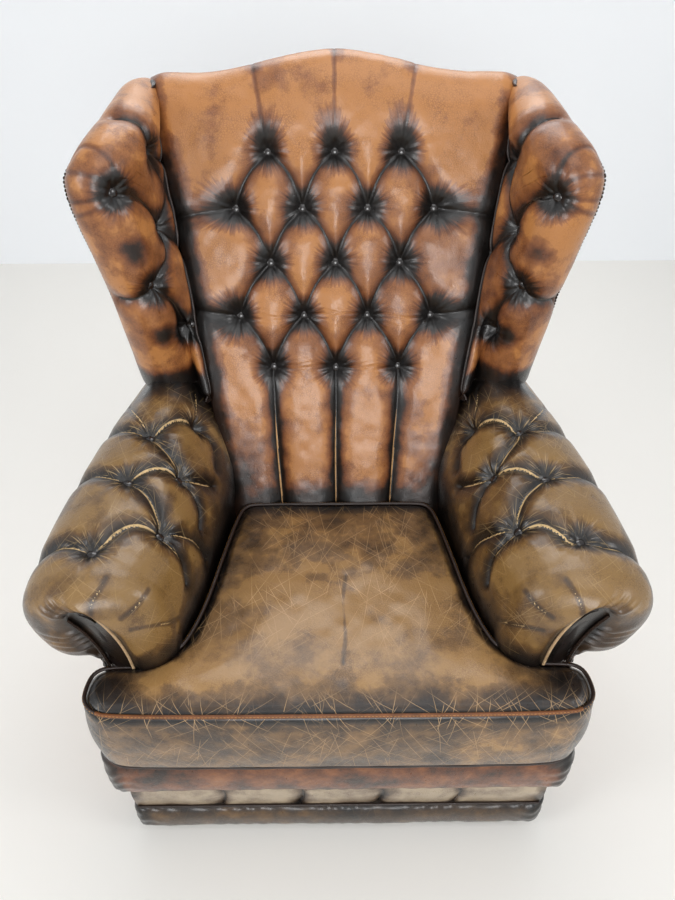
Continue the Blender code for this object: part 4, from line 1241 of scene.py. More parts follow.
# the strip's edges, across and up
STRIP_INNER = (
    (0.300, 0.400), (0.297, 0.470), (0.299, 0.505), (0.306, 0.545), (0.318, 0.580), (0.331, 0.604),
)
STRIP_OUTER = (
    (0.332, 0.400), (0.330, 0.480), (0.332, 0.505), (0.338, 0.535), (0.348, 0.565), (0.362, 0.590),
)
STRIP_TOP = ((0.346, 0.613), (0.360, 0.609))
STRIP_FOOT = 0.302
NOSE_FACE = 0.049
NOSE_DEPTH = 0.056
NOSE_RUN = 0.115              # over the nose's curve, from the strip to the arm's full section
ARM_GIRTH = 0.46              # round the roll, from the seat to the outside panel
ARM_REAR = 0.690
ARM_TURN = BASE_DEPTH - 0.05  # from here on the arm's rows lean back with the outside back


def cushion_half(y):
    ear = BASE_WIDTH_FRONT / 2 + EAR_PROUD
    table = (
        (EAR_REAR, ear - 0.026), (EAR_REAR + 0.001, ear - 0.072), (EAR_REAR + 0.010, ear - 0.097),
        (EAR_REAR + 0.028, BACK_HALF_SEAT + 0.048), (0.100, BACK_HALF_SEAT + 0.036),
        (0.146, BACK_HALF_SEAT + 0.021), (0.200, BACK_HALF_SEAT + 0.010), (0.270, BACK_HALF_SEAT),
        (CUSHION_DEPTH - 0.030, BACK_HALF_SEAT - 0.018), (CUSHION_DEPTH, BACK_HALF_SEAT - 0.021),
    )
    return np.interp(y, [a for a, _ in table], [b for _, b in table])


def arm_inner(y, z):
    lean = (BACK_HALF_CREST - BACK_HALF_SEAT) / (CREST_CORNER - CUSHION_BACK)
    share = min(max((y - 0.15) / 0.30, 0.0), 1.0)
    return cushion_half(min(y, CUSHION_DEPTH)) + 0.007 + lean * share * max(z - CUSHION_BACK, 0.0)


def arm_outer(y):
    share = max(y - ARM_WIDEST, 0.0) / (WING_FRONT - ARM_WIDEST)
    return WIDTH / 2 - ARM_REAR_NARROWING * min(share, 1.4) ** 1.6


def arm_section(y):
    top = arm_inner(y, ARM_HEIGHT)
    out = arm_outer(y)
    middle = (top + out) / 2
    return np.array((
        (arm_inner(y, 0.400), 0.400),
        (arm_inner(y, 0.460), 0.460),
        (arm_inner(y, 0.510), 0.510),
        (top + 0.008, ARM_HEIGHT - 0.060),
        (top + 0.033, ARM_HEIGHT - 0.022),
        (middle - 0.020, ARM_HEIGHT - 0.003),
        (middle + 0.020, ARM_HEIGHT),
        (out - 0.045, ARM_HEIGHT - 0.010),
        (out - 0.012, ARM_HEIGHT - 0.036),
        (out, ARM_HEIGHT - 0.070),
        (out - 0.006, ARM_HEIGHT - 0.108),
        (out - 0.022, ARM_ROLL_LOW + 0.006),
        (out - 0.040, ARM_ROLL_LOW),
        (side_x(y) + 0.003, ARM_ROLL_LOW + 0.006),
    ))


def arm_grid(side, step):
    """The arm's cover: its rounded nose round the facing strip, then back to the wing."""
    girth = int(ARM_GIRTH / step)
    ring = evenly(rounded(
        [*STRIP_INNER, *STRIP_TOP, *STRIP_OUTER[::-1][:-1]], 80, 2), girth)
    nose = []
    full = rounded(arm_section(NOSE_FACE + NOSE_DEPTH), girth, 2)
    for share in np.linspace(0, 1, int(NOSE_RUN / step)):
        turn = share * math.pi / 2
        wide = math.sin(turn) ** 0.92
        spots = ring * (1 - wide) + full * wide
        deep = NOSE_FACE + NOSE_DEPTH * (1 - math.cos(turn) ** 0.80)
        nose.append(np.column_stack([spots[:, 0], np.full(girth, deep), spots[:, 1]]))
    body = []
    for y in np.arange(NOSE_FACE + NOSE_DEPTH + step, ARM_REAR, step):
        spots = rounded(arm_section(y), girth, 2)
        share = max(y - ARM_TURN, 0.0) / (ARM_REAR - ARM_TURN)
        deep = min(y, ARM_TURN) + (outside_back(spots[:, 1]) - 0.003 - ARM_TURN) * share
        body.append(np.column_stack([spots[:, 0], np.zeros(girth) + deep, spots[:, 1]]))
    return np.array(nose + body) * (side, 1, 1)


def make_arm(side, step, pillow):
    grid = arm_grid(side, step)
    out = facing_out(grid, (0, 0, 1))
    if out[grid.shape[0] // 2, grid.shape[1] // 2, 2] < 0:
        out = -out
    tuft = Tuft(grid, out)
    spots = pin(tuft, grid, out, ARM_BUTTONS[side], ARM_PLEATS, side)
    tuft.measure()
    rows, columns = grid.shape[:2]
    row = np.repeat(np.arange(rows), columns) * step
    share = np.tile(np.linspace(0, 1, columns), rows)
    high = tuft.rise(pillow, slack=0.50, reach=0.032, spread=0.018, pit=0.003)
    depth = 0.0044 * tuft.sharp * smoothstep(0.2, 0.8, tuft.strong)
    groove = tuft.groove(depth, raised=0.0022, sunk=0.0052)
    shift = -0.012 + high - groove + tuft.puckers(height=0.0026, spread=0.021, seed=2.2)
    inside = smoothstep(0.02, 0.16, share)
    under = fade(0.86, 0.95, share)
    shift = (shift + 0.004) * inside * under - 0.004
    shift -= 0.008 * fade(0.0, 0.026, row) ** 2
    # the roll's end is drawn into small pleats round the strip's outer side
    gather = fade(0.010, 0.075, row) * smoothstep(0.52, 0.62, share) * smoothstep(0.0, 0.01, row)
    shift += 0.0026 * gather * np.sin(share * 130 + 4 * np.sin(share * 31) + 30 * row)
    shift += 0.0010 * lumps(tuft.places, 0.050, 13)
    shown = tuft.pushed(shift)
    deep, z = tuft.places[:, 1], tuft.places[:, 2]
    # painted shade: low on the inner face by the cushion and over the inner face behind the nose,
    # under the roll, at the nose's edge by the strip, in the gathered pleats, where the arm meets
    # the wing and beside the folds; darker too on the roll's outer side
    near_fold = smoothstep(0.4, 0.8, tuft.strong) * np.exp(-(np.abs(tuft.fold) / 0.020) ** 2)
    dye_and_shade = strongest(
        0.90 * fade(0.470, 0.540, z) * (share < 0.5),
        0.55 * fade(0.10, 0.34, share) * smoothstep(0.02, 0.12, row),
        0.70 * smoothstep(0.78, 0.92, share),
        0.75 * fade(0.002, 0.020, row),
        0.46 * gather,
        0.45 * smoothstep(0.60, 0.74, share),
        0.85 * smoothstep(0.430, 0.500, deep) * fade(0.60, 0.70, share),
        0.54 * near_fold,
    )
    seats = [(shown[spot], out[spot]) for spot in spots]
    return shown, tuft.marks(dye_and_shade, np.clip(tuft.mid * 1.15, 0, 1)), seats


def cushion_outline(inset):
    """The cushion's T-shaped outline, drawn in by the inset."""
    ear = BASE_WIDTH_FRONT / 2 + EAR_PROUD
    front = -CUSHION_FRONT
    right = [
        (0.0, front), (ear * 0.5, front), (ear - 0.045, front + 0.002),
        (ear - 0.018, front + 0.010), (ear - 0.004, front + 0.026), (ear, 0.008),
        (ear - 0.002, 0.034), (ear - 0.010, EAR_REAR - 0.007),
    ]
    right += [(cushion_half(y), y) for y in (
        EAR_REAR, EAR_REAR + 0.001, EAR_REAR + 0.010, EAR_REAR + 0.028, 0.100, 0.146, 0.200, 0.270,
        CUSHION_DEPTH - 0.030)]
    right += [
        (cushion_half(CUSHION_DEPTH) - 0.010, CUSHION_DEPTH - 0.005),
        (cushion_half(CUSHION_DEPTH) - 0.030, CUSHION_DEPTH),
        (0.0, CUSHION_DEPTH),
    ]
    loop = np.array(right + [(-x, y) for x, y in right[-2:0:-1]])
    run = np.roll(loop, -1, axis=0) - np.roll(loop, 1, axis=0)
    run /= np.linalg.norm(run, axis=1, keepdims=True)
    return loop + np.column_stack([-run[:, 1], run[:, 0]]) * inset


def cushion_line(inset, up, count=420):
    """A closed line round the cushion at this height over its bottom."""
    loop = cushion_outline(inset)
    loop = rounded(np.concatenate([loop, loop[:1]]), count, 2)
    loop[-1] = loop[0]
    return np.column_stack([loop, BASE_TOP + 0.0003 + up - SEAT_SLOPE * loop[:, 1]])


def seat_spot(pixel, lift=0.0):
    """The place on the cushion's top that the photo shows at this pixel, in depths."""
    right = (pixel[0] - PHOTO_SIZE[0] / 2) / FOCAL_PIXELS
    up = (PHOTO_SIZE[1] / 2 - pixel[1]) / FOCAL_PIXELS
    y = math.cos(CAMERA_PITCH) + up * math.sin(CAMERA_PITCH)
    z = up * math.cos(CAMERA_PITCH) - math.sin(CAMERA_PITCH)
    c, s = math.cos(CAMERA_YAW), math.sin(CAMERA_YAW)
    way = np.array((right * c + y * s, -right * s + y * c, z))
    eye = np.array((CAMERA_X, CAMERA_DEPTH, CAMERA_HEIGHT))
    plane = SEAT_HEIGHT + lift
    t = (plane - SEAT_SLOPE * eye[1] - eye[2]) / (way[2] + SEAT_SLOPE * way[1])
    return eye + way * t


# the thin crack down the seat's middle, as the photo shows it
SEAT_CRACK = ((346, 580), (342, 604), (346, 635), (343, 668))
CUSHION_VOXEL = 0.0065
SEAM_LENGTH = 2.35
STITCH_STEP = 0.0058
STITCH = (0.0021, 0.0006, 0.0005)
CLOTH_FRAMES = 20
CLOTH_PRESSURE = 4.0
CLOTH_MOST = 0.012            # no point of the cushion moves further than this
SEAM_HOLD = 0.010             # the cloth is held this far up and down from a seam
UPWARDS = (0.0, 0.0, 1.0)
FLAT = (1, 1, 0)              # keeps a place's X and Y only


def loop_body(name, lines):
    """A closed body through these lines, filled at both ends."""
    bm = bmesh.new()
    rows = [[bm.verts.new((x, y + SHIFT, z)) for x, y, z in line[:-1]] for line in lines]
    count = len(rows[0])
    for low, high in zip(rows, rows[1:]):
        for i in range(count):
            bm.faces.new((low[i], low[(i + 1) % count], high[(i + 1) % count], high[i]))
    bm.faces.new(rows[0][::-1])
    bm.faces.new(rows[-1])
    bmesh.ops.recalc_face_normals(bm, faces=bm.faces)
    mesh = bpy.data.meshes.new(name)
    bm.to_mesh(mesh)
    bm.free()
    body = bpy.data.objects.new(name, mesh)
    bpy.context.scene.collection.objects.link(body)
    return body


def settled(body, **settings):
    """Applies one modifier's result to the body's mesh."""
    kind = settings.pop("kind")
    modifier = body.modifiers.new("step", kind)
    for key, value in settings.items():
        setattr(modifier, key, value)
    graph = bpy.context.evaluated_depsgraph_get()
    made = bpy.data.meshes.new_from_object(body.evaluated_get(graph))
    body.modifiers.clear()
    old = body.data
    body.data = made
    bpy.data.meshes.remove(old)
    return body


def coordinates(mesh):
    flat = np.empty(len(mesh.vertices) * 3)
    mesh.vertices.foreach_get("co", flat)
    return flat.reshape(-1, 3)


def blown(body, held):
    """The body swollen by cloth under pressure, but held at its seams."""
    before = coordinates(body.data)
    seams = body.vertex_groups.new(name="seams")
    seams.add(np.flatnonzero(held).tolist(), 1.0, "REPLACE")
    cloth = body.modifiers.new("cloth", "CLOTH")
    cloth.settings.vertex_group_mass = seams.name
    cloth.settings.use_pressure = True
    cloth.settings.uniform_pressure_force = CLOTH_PRESSURE
    cloth.settings.effector_weights.gravity = 0.0
    cloth.settings.quality = 5
    cloth.settings.mass = 0.4
    cloth.settings.tension_stiffness = 25
    cloth.settings.compression_stiffness = 25
    cloth.settings.bending_stiffness = 1.2
    scene = bpy.context.scene
    for number in range(1, CLOTH_FRAMES + 1):
        scene.frame_set(number)
    graph = bpy.context.evaluated_depsgraph_get()
    made = bpy.data.meshes.new_from_object(body.evaluated_get(graph))
    after = coordinates(made)
    body.modifiers.clear()
    bpy.data.meshes.remove(made)
    scene.frame_set(1)
    move = after - before
    far = np.linalg.norm(move, axis=1, keepdims=True)
    move *= np.minimum(1.0, CLOTH_MOST / np.maximum(far, 1e-9))
    if not np.isfinite(move).all() or far.max() < 1e-5:
        raise RuntimeError("the cloth did not swell")
    body.data.vertices.foreach_set("co", (before + move).ravel())
    body.data.update()
    return body


def from_above(places, line):
    """Each place's distance from a line seen from above, and which side it lies on."""
    far, side, _ = to_path(places * FLAT, np.tile(UPWARDS, (len(places), 1)), line * FLAT)
    return far, np.where(side == 0, 1, side)


class CHAIR_OT_back(bpy.types.Operator):
    """The buttoned back in tan hide, over its crest"""
    bl_idname = "wing_chair.back"
    bl_label = "Back"

    def execute(self, context):
        hides = finishes()
        sheet, marks, seats = make_back(sizes().grid * 1.04, sizes().pillow)
        pad("back_cover", sheet, marks, hides["antique_tan_hide"], "rows",
            "tan_leather", "back_padding")
        nodes = ["back_button_%d_%d" % (row + 1, index + 1)
                 for row, count in enumerate(BUTTON_ROWS) for index in range(count)]
        set_buttons("back_buttons", seats, hides, *nodes)
        return {"FINISHED"}


def set_buttons(name, seats, hides, *stands_for):
    """Covered buttons, pulled down on their seats."""
    radius = sizes().button
    places = [spot + normal * radius * 0.30 for spot, normal in seats]
    facing = [normal for _, normal in seats]
    along = [np.cross(normal, (0.0, 0.0, 1.0)) for normal in facing]
    piece = beads(
        name, places, facing, along, hides["polished_button_hide"],
        (radius, radius, radius * 0.52), fineness=(24, 12), uneven=0.02, seed=3)
    return fitted(piece, "button_leather", *stands_for)


class CHAIR_OT_wings(bpy.types.Operator):
    """The buttoned wings in tan hide, with the nails along their edges"""
    bl_idname = "wing_chair.wings"
    bl_label = "Wings"

    def execute(self, context):
        hides = finishes()
        step = sizes().grid * 1.15
        for side, hand in HANDS:
            sheet, out, marks, seats = make_wing(side, step, sizes().arm_pillow)
            pad("wing_cover_" + hand, sheet, marks, hides["antique_tan_hide"], "columns",
                "tan_leather", "wing_padding_" + hand)
            set_buttons("wing_buttons_" + hand, seats, hides)
            column = int(NAIL_LINE / step)
            count = max(2, int(WING_LEAD_LENGTH / sizes().nail_step))
            run = evenly(sheet[:, column] + out[:, column] * 0.0010, count)
            nails = beads(
                "wing_nails_" + hand, run, np.tile((side * 0.92, -0.38, 0.1), (len(run), 1)),
                along_run(run), hides["lacquered_nails"],
                (sizes().nail, sizes().nail, sizes().nail * 0.7), fineness=(8, 6), uneven=0.08,
                seed=11)
            fitted(nails, "facing_leather")
            seam = evenly(sheet[: int(len(sheet) * (WING_OVER - 0.04)), -9], 140)
            piping = welts(
                "wing_seam_" + hand, [seam + (0, -0.002, 0)], sizes().welt * 0.8,
                hides["dark_welt_hide"])
            fitted(piping, "tan_leather")
        return {"FINISHED"}


class CHAIR_OT_arms(bpy.types.Operator):
    """The buttoned arms in olive hide, and the strips and welts on their fronts"""
    bl_idname = "wing_chair.arms"
    bl_label = "Arms"

    def execute(self, context):
        hides = finishes()
        for side, hand in HANDS:
            sheet, marks, seats = make_arm(side, sizes().grid * 1.15, sizes().arm_pillow)
            pad("arm_cover_" + hand, sheet, marks, hides["worn_olive_hide"], "columns",
                "worn_leather", "arm_padding_" + hand)
            set_buttons("arm_buttons_" + hand, seats, hides)
            self.face(side, hand, hides)
        return {"FINISHED"}

    def face(self, side, hand, hides):
        """The dark strip up the front of the arm, its cream welt and its nails."""
        rows, columns = 120, 18
        inner = evenly(rounded([(0.298, STRIP_FOOT), *STRIP_INNER, STRIP_TOP[0]], 90, 2), rows)
        outer = evenly(rounded([(0.332, STRIP_FOOT), *STRIP_OUTER, STRIP_TOP[1]], 90, 2), rows)
        share = np.linspace(-1, 1, columns)
        grid = np.zeros((rows, columns, 3))
        for i in range(rows):
            a, b = inner[i], outer[i]
            middle, half = (a + b) / 2, (b - a) / 2
            spots = middle + np.outer(share, half)
            curl = smoothstep(0.86, 1.0, i / (rows - 1))
            deep = 0.0560 - 0.004 * (1 - share ** 2) + 0.006 * curl
            deep = deep + 0.006 * smoothstep(0.0, 0.25, 0.25 - i / (rows - 1))
            grid[i] = np.column_stack([spots[:, 0], deep, spots[:, 1]])
        grid *= (side, 1, 1)
        piece = cover("arm_strip_" + hand, grid, {}, hides["glazed_facing_hide"])
        forward = np.array((0, -1, 0))
        thicken(piece, 0.003, -1 if (facing_out(grid, forward) @ forward).mean() > 0 else 1)
        fitted(piece, "facing_leather", "arm_facing_" + hand)
        def beside(edge, count, deep):
            line = evenly(rounded(edge[1:], 60, 2), count)
            return np.column_stack([line[:, 0], np.full(count, deep), line[:, 1]]) * (side, 1, 1)

        welt = welts(
            "arm_welt_" + hand, [beside(STRIP_INNER, 70, 0.0515)], sizes().welt * 0.80,
            hides["worn_welt_hide"])
        fitted(welt, "worn_leather")
        spots = beside(STRIP_OUTER, 34, 0.0505)
        wide = sizes().nail * 1.2
        nails = beads(
            "arm_nails_" + hand, spots, np.tile((side * 0.3, -1.0, 0.0), (len(spots), 1)),
            along_run(spots), hides["lacquered_nails"], (wide, wide, sizes().nail * 0.9),
            fineness=(8, 6), uneven=0.10, seed=7)
        fitted(nails, "facing_leather")


class CHAIR_OT_cushion(bpy.types.Operator):
    """The loose T-shaped seat cushion, swollen, creased and piped"""
    bl_idname = "wing_chair.cushion"
    bl_label = "Seat cushion"

    def execute(self, context):
        hides = finishes()
        top = CUSHION_THICK
        levels = (
            (-0.001, 0.009), (0.003, 0.003), (0.014, -0.001), (0.050, -0.005), (0.085, -0.007),
            (0.120, -0.005), (top - 0.012, -0.001), (top - 0.002, 0.003), (top + 0.002, 0.009),
        )
        body = loop_body("seat_cushion", [cushion_line(inset, up, 240) for up, inset in levels])
        settled(body, kind="REMESH", mode="VOXEL", voxel_size=CUSHION_VOXEL)
        settled(body, kind="SMOOTH", factor=0.5, iterations=6)
        outline = cushion_line(0.0, 0.0, 240)
        spots = coordinates(body.data) - (0.0, SHIFT, 0.0)
        level = spots[:, 2] + SEAT_SLOPE * spots[:, 1] - BASE_TOP
        by_seam = np.minimum(np.abs(level), np.abs(level - top)) < SEAM_HOLD
        blown(body, (from_above(spots, outline)[0] < SEAM_HOLD * 1.2) & by_seam)
        settled(body, kind="SUBSURF", levels=1, render_levels=1)
        mesh = body.data
        places = coordinates(mesh) - (0.0, SHIFT, 0.0)
        away = from_above(places, outline)[0]
        height = places[:, 2] + SEAT_SLOPE * places[:, 1] - BASE_TOP
        upper = smoothstep(top * 0.80, top * 0.98, height)
        crown = 1 - (1 - np.minimum(away / 0.150, 1.0)) ** 2
        lift = 0.006 * crown * upper
        far, which = from_above(places, rounded([seat_spot(pixel) for pixel in SEAT_CRACK], 30, 2))
        fold = np.where((upper > 0.3) & (far < NO_FOLD), far * which, NO_FOLD)
        lift -= 0.0009 * upper * np.exp(-np.abs(fold) / 0.006)
        large, small = lumps(places, 0.070, 21), lumps(places, 0.022, 22)
        lift += 0.0018 * upper * large + 0.0007 * upper * small
        normals = np.empty(len(mesh.vertices) * 3)
        mesh.vertices.foreach_get("normal", normals)
        swell = (1 - upper) * smoothstep(0.010, 0.040, height) * (0.0010 * lumps(places, 0.035, 23))
        seams = np.minimum(np.abs(height - (top - 0.002)), np.abs(height - 0.010))
        swell -= 0.0025 * np.exp(-(seams / 0.0060) ** 2) * (away < 0.016)
        places = places + normals.reshape(-1, 3) * swell[:, None]
        places[:, 2] += lift
        mesh.vertices.foreach_set("co", (places + (0.0, SHIFT, 0.0)).ravel())
        wide, front = np.abs(places[:, 0]), places[:, 1]
        over = front + CUSHION_FRONT
        boxing = 1 - upper
        # painted shade at the rear of the top and under the back, along the top of the boxing under
        # the welt, at the cushion's foot and on the boxing's outer sides; darker too at the top's
        # edges, over its front 80 mm, on the ears and over the whole boxing
        dye_and_shade = strongest(
            0.80 * fade(0.002, 0.030, away) * upper,
            0.60 * fade(0.000, 0.080, over) * upper,
            0.28 * smoothstep(0.14, 0.30, front) * upper,
            0.70 * smoothstep(0.24, 0.35, wide) * fade(0.02, 0.09, front) * upper,
            0.72 * fade(0.004, 0.060, top - height) * boxing,
            0.26 * boxing,
            0.85 * fade(0.004, 0.020, height),
            0.75 * smoothstep(0.31, 0.36, wide) * boxing,
            0.7 * smoothstep(0.34, 0.40, front),
        )
        # scratched most along the sitter's crease, in a fan before it, and over the front edge
        crease = (front - 0.185) / (0.030 + 0.030 * (front < 0.185))
        spread = wide / (0.15 + 0.25 * np.clip(0.20 - front, 0.0, 0.2) / 0.2)
        wear = strongest(
            0.12,
            1.05 * np.exp(-crease ** 2) * fade(0.75, 1.15, spread),
            0.55 * fade(0.80, 1.10, spread) * smoothstep(0.04, 0.12, front),
            0.95 * fade(0.000, 0.055, over),
        )
        wear = np.clip(wear, 0.0, 1.0) * (0.55 + 0.45 * upper)
        crown = 0.5 + 0.5 * upper * crown
        marks = plain_marks(len(places), dye_and_shade, wear, crown, np.hypot(fold * 3, 0.0018))
        marks["lip"] = np.zeros(len(places))
        keep_marks(mesh, marks)
        piece = finished("seat_cushion_hide", mesh, hides["creased_seat_hide"], closed=False)
        bpy.data.objects.remove(body)
        fitted(piece, "worn_leather", "seat_cushion_cover", "seat_cushion_core")
        upper_line = cushion_line(0.0035, top - 0.0015)
        self.pipe(upper_line, hides)
        self.stitch(upper_line, hides)
        return {"FINISHED"}

    def pipe(self, upper_line, hides):
        """Welts round the cushion's top and, twice, round its foot."""
        lower_line = cushion_line(0.0035, 0.0085)
        lower_line[:, 2] += 0.0012 * np.sin(lower_line[:, 0] * 60)
        second = lower_line + (0, 0, 0.0085)
        second[:, 0] *= 1.002
        before = upper_line[:-1, 1] < -CUSHION_FRONT + 0.012
        first = int(np.argmax(before & ~np.roll(before, 1)))
        turned = np.roll(upper_line[:-1], -first, axis=0)
        share = int(before.sum())
        rest = np.concatenate([turned[share - 1:], turned[:1]])
        for name, line, finish in (
            ("cushion_front_welt", turned[:share], "orange_welt_hide"),
            ("cushion_side_welt", rest, "dark_welt_hide"),
        ):
            fitted(welts(name, [line], sizes().welt, hides[finish], sides=12), "worn_leather")
        lower = welts(
            "cushion_lower_welts", [lower_line, second], sizes().welt * 0.85,
            hides["dark_welt_hide"], sides=12)
        fitted(lower, "worn_leather")

    def stitch(self, upper_line, hides):
        """Slanted stitches beside the upper welt."""
        run = evenly(upper_line, int(SEAM_LENGTH / STITCH_STEP))
        way = along_run(run)
        away = np.cross(way, (0, 0, 1.0))
        away /= np.linalg.norm(away, axis=1, keepdims=True)
        if (away @ np.array((0, 0, 1.0))).mean() < 0 or (away * run)[:, 0].mean() < 0:
            away = -away
        spots = run + away * 0.0020 + (0, 0, 0.0017)
        thread = beads(
            "cushion_stitches", spots, away + (0, 0, 0.9), np.cross(away, (0, 0, 1.0)) + way * 0.55,
            hides["waxed_thread"], STITCH, fineness=(6, 4), uneven=0.10, seed=5)
        fitted(thread, "worn_leather")


# the rolls across the base: half width, front, foot, top, seed of their lumps and their hide
ROLLS = (
    ("base_roll_upper", 0.3755, -0.022, 0.187, 0.300, 41, "antique_tan_hide"),
    ("base_roll_lower", 0.3635, -0.006, 0.015, 0.087, 43, "worn_olive_hide"),
)
BAND_HALF = 0.352
BAND_FOOT = 0.084
BAND_TOP = 0.192
BAND_PLEATS = (-0.198, -0.064, 0.072, 0.204)
BAND_WELTS = (0.0885, 0.1885)


def roll_sheet(half, front, rear, low, high, step):
    """A padded roll across the base's front, with rounded ends."""
    rows, columns = int((high - low) * 1.7 / step), int(2 * half / step)
    grid = np.zeros((rows, columns, 3))
    middle, tall = (low + high) / 2, (high - low) / 2
    for j, u in enumerate(np.linspace(-1, 1, columns)):
        swell = (1 - np.clip((abs(u) - 0.93) / 0.07, 0, 1) ** 2.2) ** 0.5
        for i, t in enumerate(np.linspace(-1, 1, rows)):
            turn = t * math.pi / 2
            out = (rear - front) * math.cos(turn) ** 0.42 * (0.12 + 0.88 * swell)
            high_up = tall * math.copysign(abs(math.sin(turn)) ** 0.85, t)
            grid[i, j] = (u * half, rear - out, middle + high_up)
    return grid


class CHAIR_OT_base(bpy.types.Operator):
    """The rolls and the pleated band across the front of the base"""
    bl_idname = "wing_chair.base"
    bl_label = "Base"

    def execute(self, context):
        hides = finishes()
        rear = FRONT_RAIL_FACE - 0.0003
        step = sizes().grid * 1.3
        for node, half, front, low, high, seed, hide in ROLLS:
            grid = roll_sheet(half, front, rear, low, high, step)
            out = facing_out(grid, (0, -1, 0))
            places = grid.reshape(-1, 3)
            ends = smoothstep(0.80, 0.98, np.abs(places[:, 0]) / half)
            t = (places[:, 2] - low) / (high - low)
            edge = np.minimum(t, 1 - t)
            draw = 0.0016 * np.sin(places[:, 0] * 190 + 2.2 * np.sin(places[:, 0] * 37))
            draw = draw * np.exp(-edge / 0.12)
            draw += 0.0009 * ends * np.sin(places[:, 2] * 260 + 2 * np.sin(places[:, 0] * 80))
            shift = draw + 0.0014 * lumps(places, 0.055, seed) - 0.0015
            shown = (places + out.reshape(-1, 3) * shift[:, None]).reshape(grid.shape)
            # painted shade: darker at the rolls' ends and along their top and bottom edges, the
            # upper roll's top more so under the cushion; a little darker all over
            dye_and_shade = strongest(0.40, 0.80 * ends, 0.55 * fade(0.04, 0.30, edge))
            if node == "base_roll_upper":
                dye_and_shade = np.maximum(dye_and_shade, 0.50 * smoothstep(0.62, 0.95, t))
            marks = plain_marks(len(places), dye_and_shade, 0.25, 0.6)
            pad(node + "_cover", shown, marks, hides[hide], "rows", "worn_leather", node)
        self.band(step, hides)
        return {"FINISHED"}

    def band(self, step, hides):
        """The recessed band between the rolls, with four pleats."""
        rows, columns = int((BAND_TOP - BAND_FOOT) / step), int(2 * BAND_HALF / step)
        x, z = np.meshgrid(
            np.linspace(-BAND_HALF, BAND_HALF, columns), np.linspace(BAND_FOOT, BAND_TOP, rows))
        folds = np.full(x.shape, NO_FOLD)
        for place in BAND_PLEATS:
            gap = x - place - 0.004 * np.sin(z * 60)
            folds = np.where(np.abs(gap) < np.abs(folds), gap, folds)
        risen = np.clip((z - BAND_FOOT) / (BAND_TOP - BAND_FOOT), 0, 1)
        y = 0.0105 - 0.0045 * np.sin(risen * math.pi)
        y = y + 0.0050 * np.exp(-np.abs(folds) / np.where(folds > 0, 0.0030, 0.0100))
        grid = np.stack([x, y, z], axis=2)
        grid[:, :, 1] += 0.0008 * lumps(grid, 0.030, 47)
        edge = np.minimum(z - 0.089, 0.187 - z).ravel()
        # painted shade: darker along both welts, towards the band's ends and beside its pleats
        dye_and_shade = strongest(
            0.3 * fade(0.0, 0.012, edge),
            0.5 * smoothstep(0.32, 0.35, np.abs(x.ravel())),
            0.50 * np.exp(-np.abs(folds.ravel()) / 0.022),
        )
        marks = plain_marks(edge.size, dye_and_shade, 0.10, 0.7, folds.ravel())
        pad("base_band_cover", grid, marks, hides["greyish_band_hide"], "rows", "worn_leather",
            "base_band")
        across = np.linspace(-BAND_HALF + 0.002, BAND_HALF - 0.002, 160)
        lines = [
            np.column_stack([across, np.full(160, 0.0075), np.full(160, height)])
            for height in BAND_WELTS
        ]
        piping = welts("base_welts", lines, sizes().welt * 0.8, hides["dark_welt_hide"])
        fitted(piping, "worn_leather")


def plain_marks(count, dye_and_shade, wear, crown, fold=None):
    """Marks for a cover that has no buttons."""
    rub = np.zeros((count, 3))
    rub[:, 2] = NO_FOLD
    fold = np.full(count, NO_FOLD) if fold is None else fold
    return {
        "rub": rub, "fold": np.abs(fold), "lip": raised_side(fold),
        "dye_and_shade": np.zeros(count) + dye_and_shade, "wear": np.zeros(count) + wear,
        "crown": np.zeros(count) + crown,
    }


PANEL_STEP = 0.006
PANEL_FOOT = 0.018
PANEL_NAIL = (0.0045, 0.0045, 0.0022)
ARM_PANEL_TOP = 0.493
ARM_PANEL_FRONT = 0.0625      # over the seat's deck; under it the panel meets the front rail
WING_PANEL_FRONT = 0.5475


def panel_sheet(name, front, rear, low, high, outer, side, hide, node, swell=0.004):
    """A plain panel of hide on thin wadding between two edges, and its grid."""
    z = np.linspace(low, high, max(4, int((high - low) / PANEL_STEP)))
    columns = max(4, int((rear(z).max() - front(z).min()) / PANEL_STEP))
    share = np.linspace(0, 1, columns)
    y = front(z)[:, None] * (1 - share) + rear(z)[:, None] * share
    height = z[:, None].repeat(columns, axis=1)
    rim = np.minimum(np.minimum(y - front(z)[:, None], rear(z)[:, None] - y),
                     np.minimum(height - low, high - height))
    crown = 1 - (1 - np.clip(rim / 0.045, 0, 1)) ** 2
    x = outer(y, height) + swell * (crown - 0.15)
    grid = np.stack([x * side, y, height], axis=2)
    grid[:, :, 0] += side * 0.0012 * lumps(grid, 0.080, 51) * crown
    # painted shade: darker towards the panel's edges, where it meets the next parts
    dye_and_shade = 0.72 * fade(-0.010, 0.060, rim.ravel())
    marks = plain_marks(rim.size, dye_and_shade, 0.15, 0.6)
    thicken(fitted(cover(name, grid, marks, hide), "tan_leather", node))
    return grid


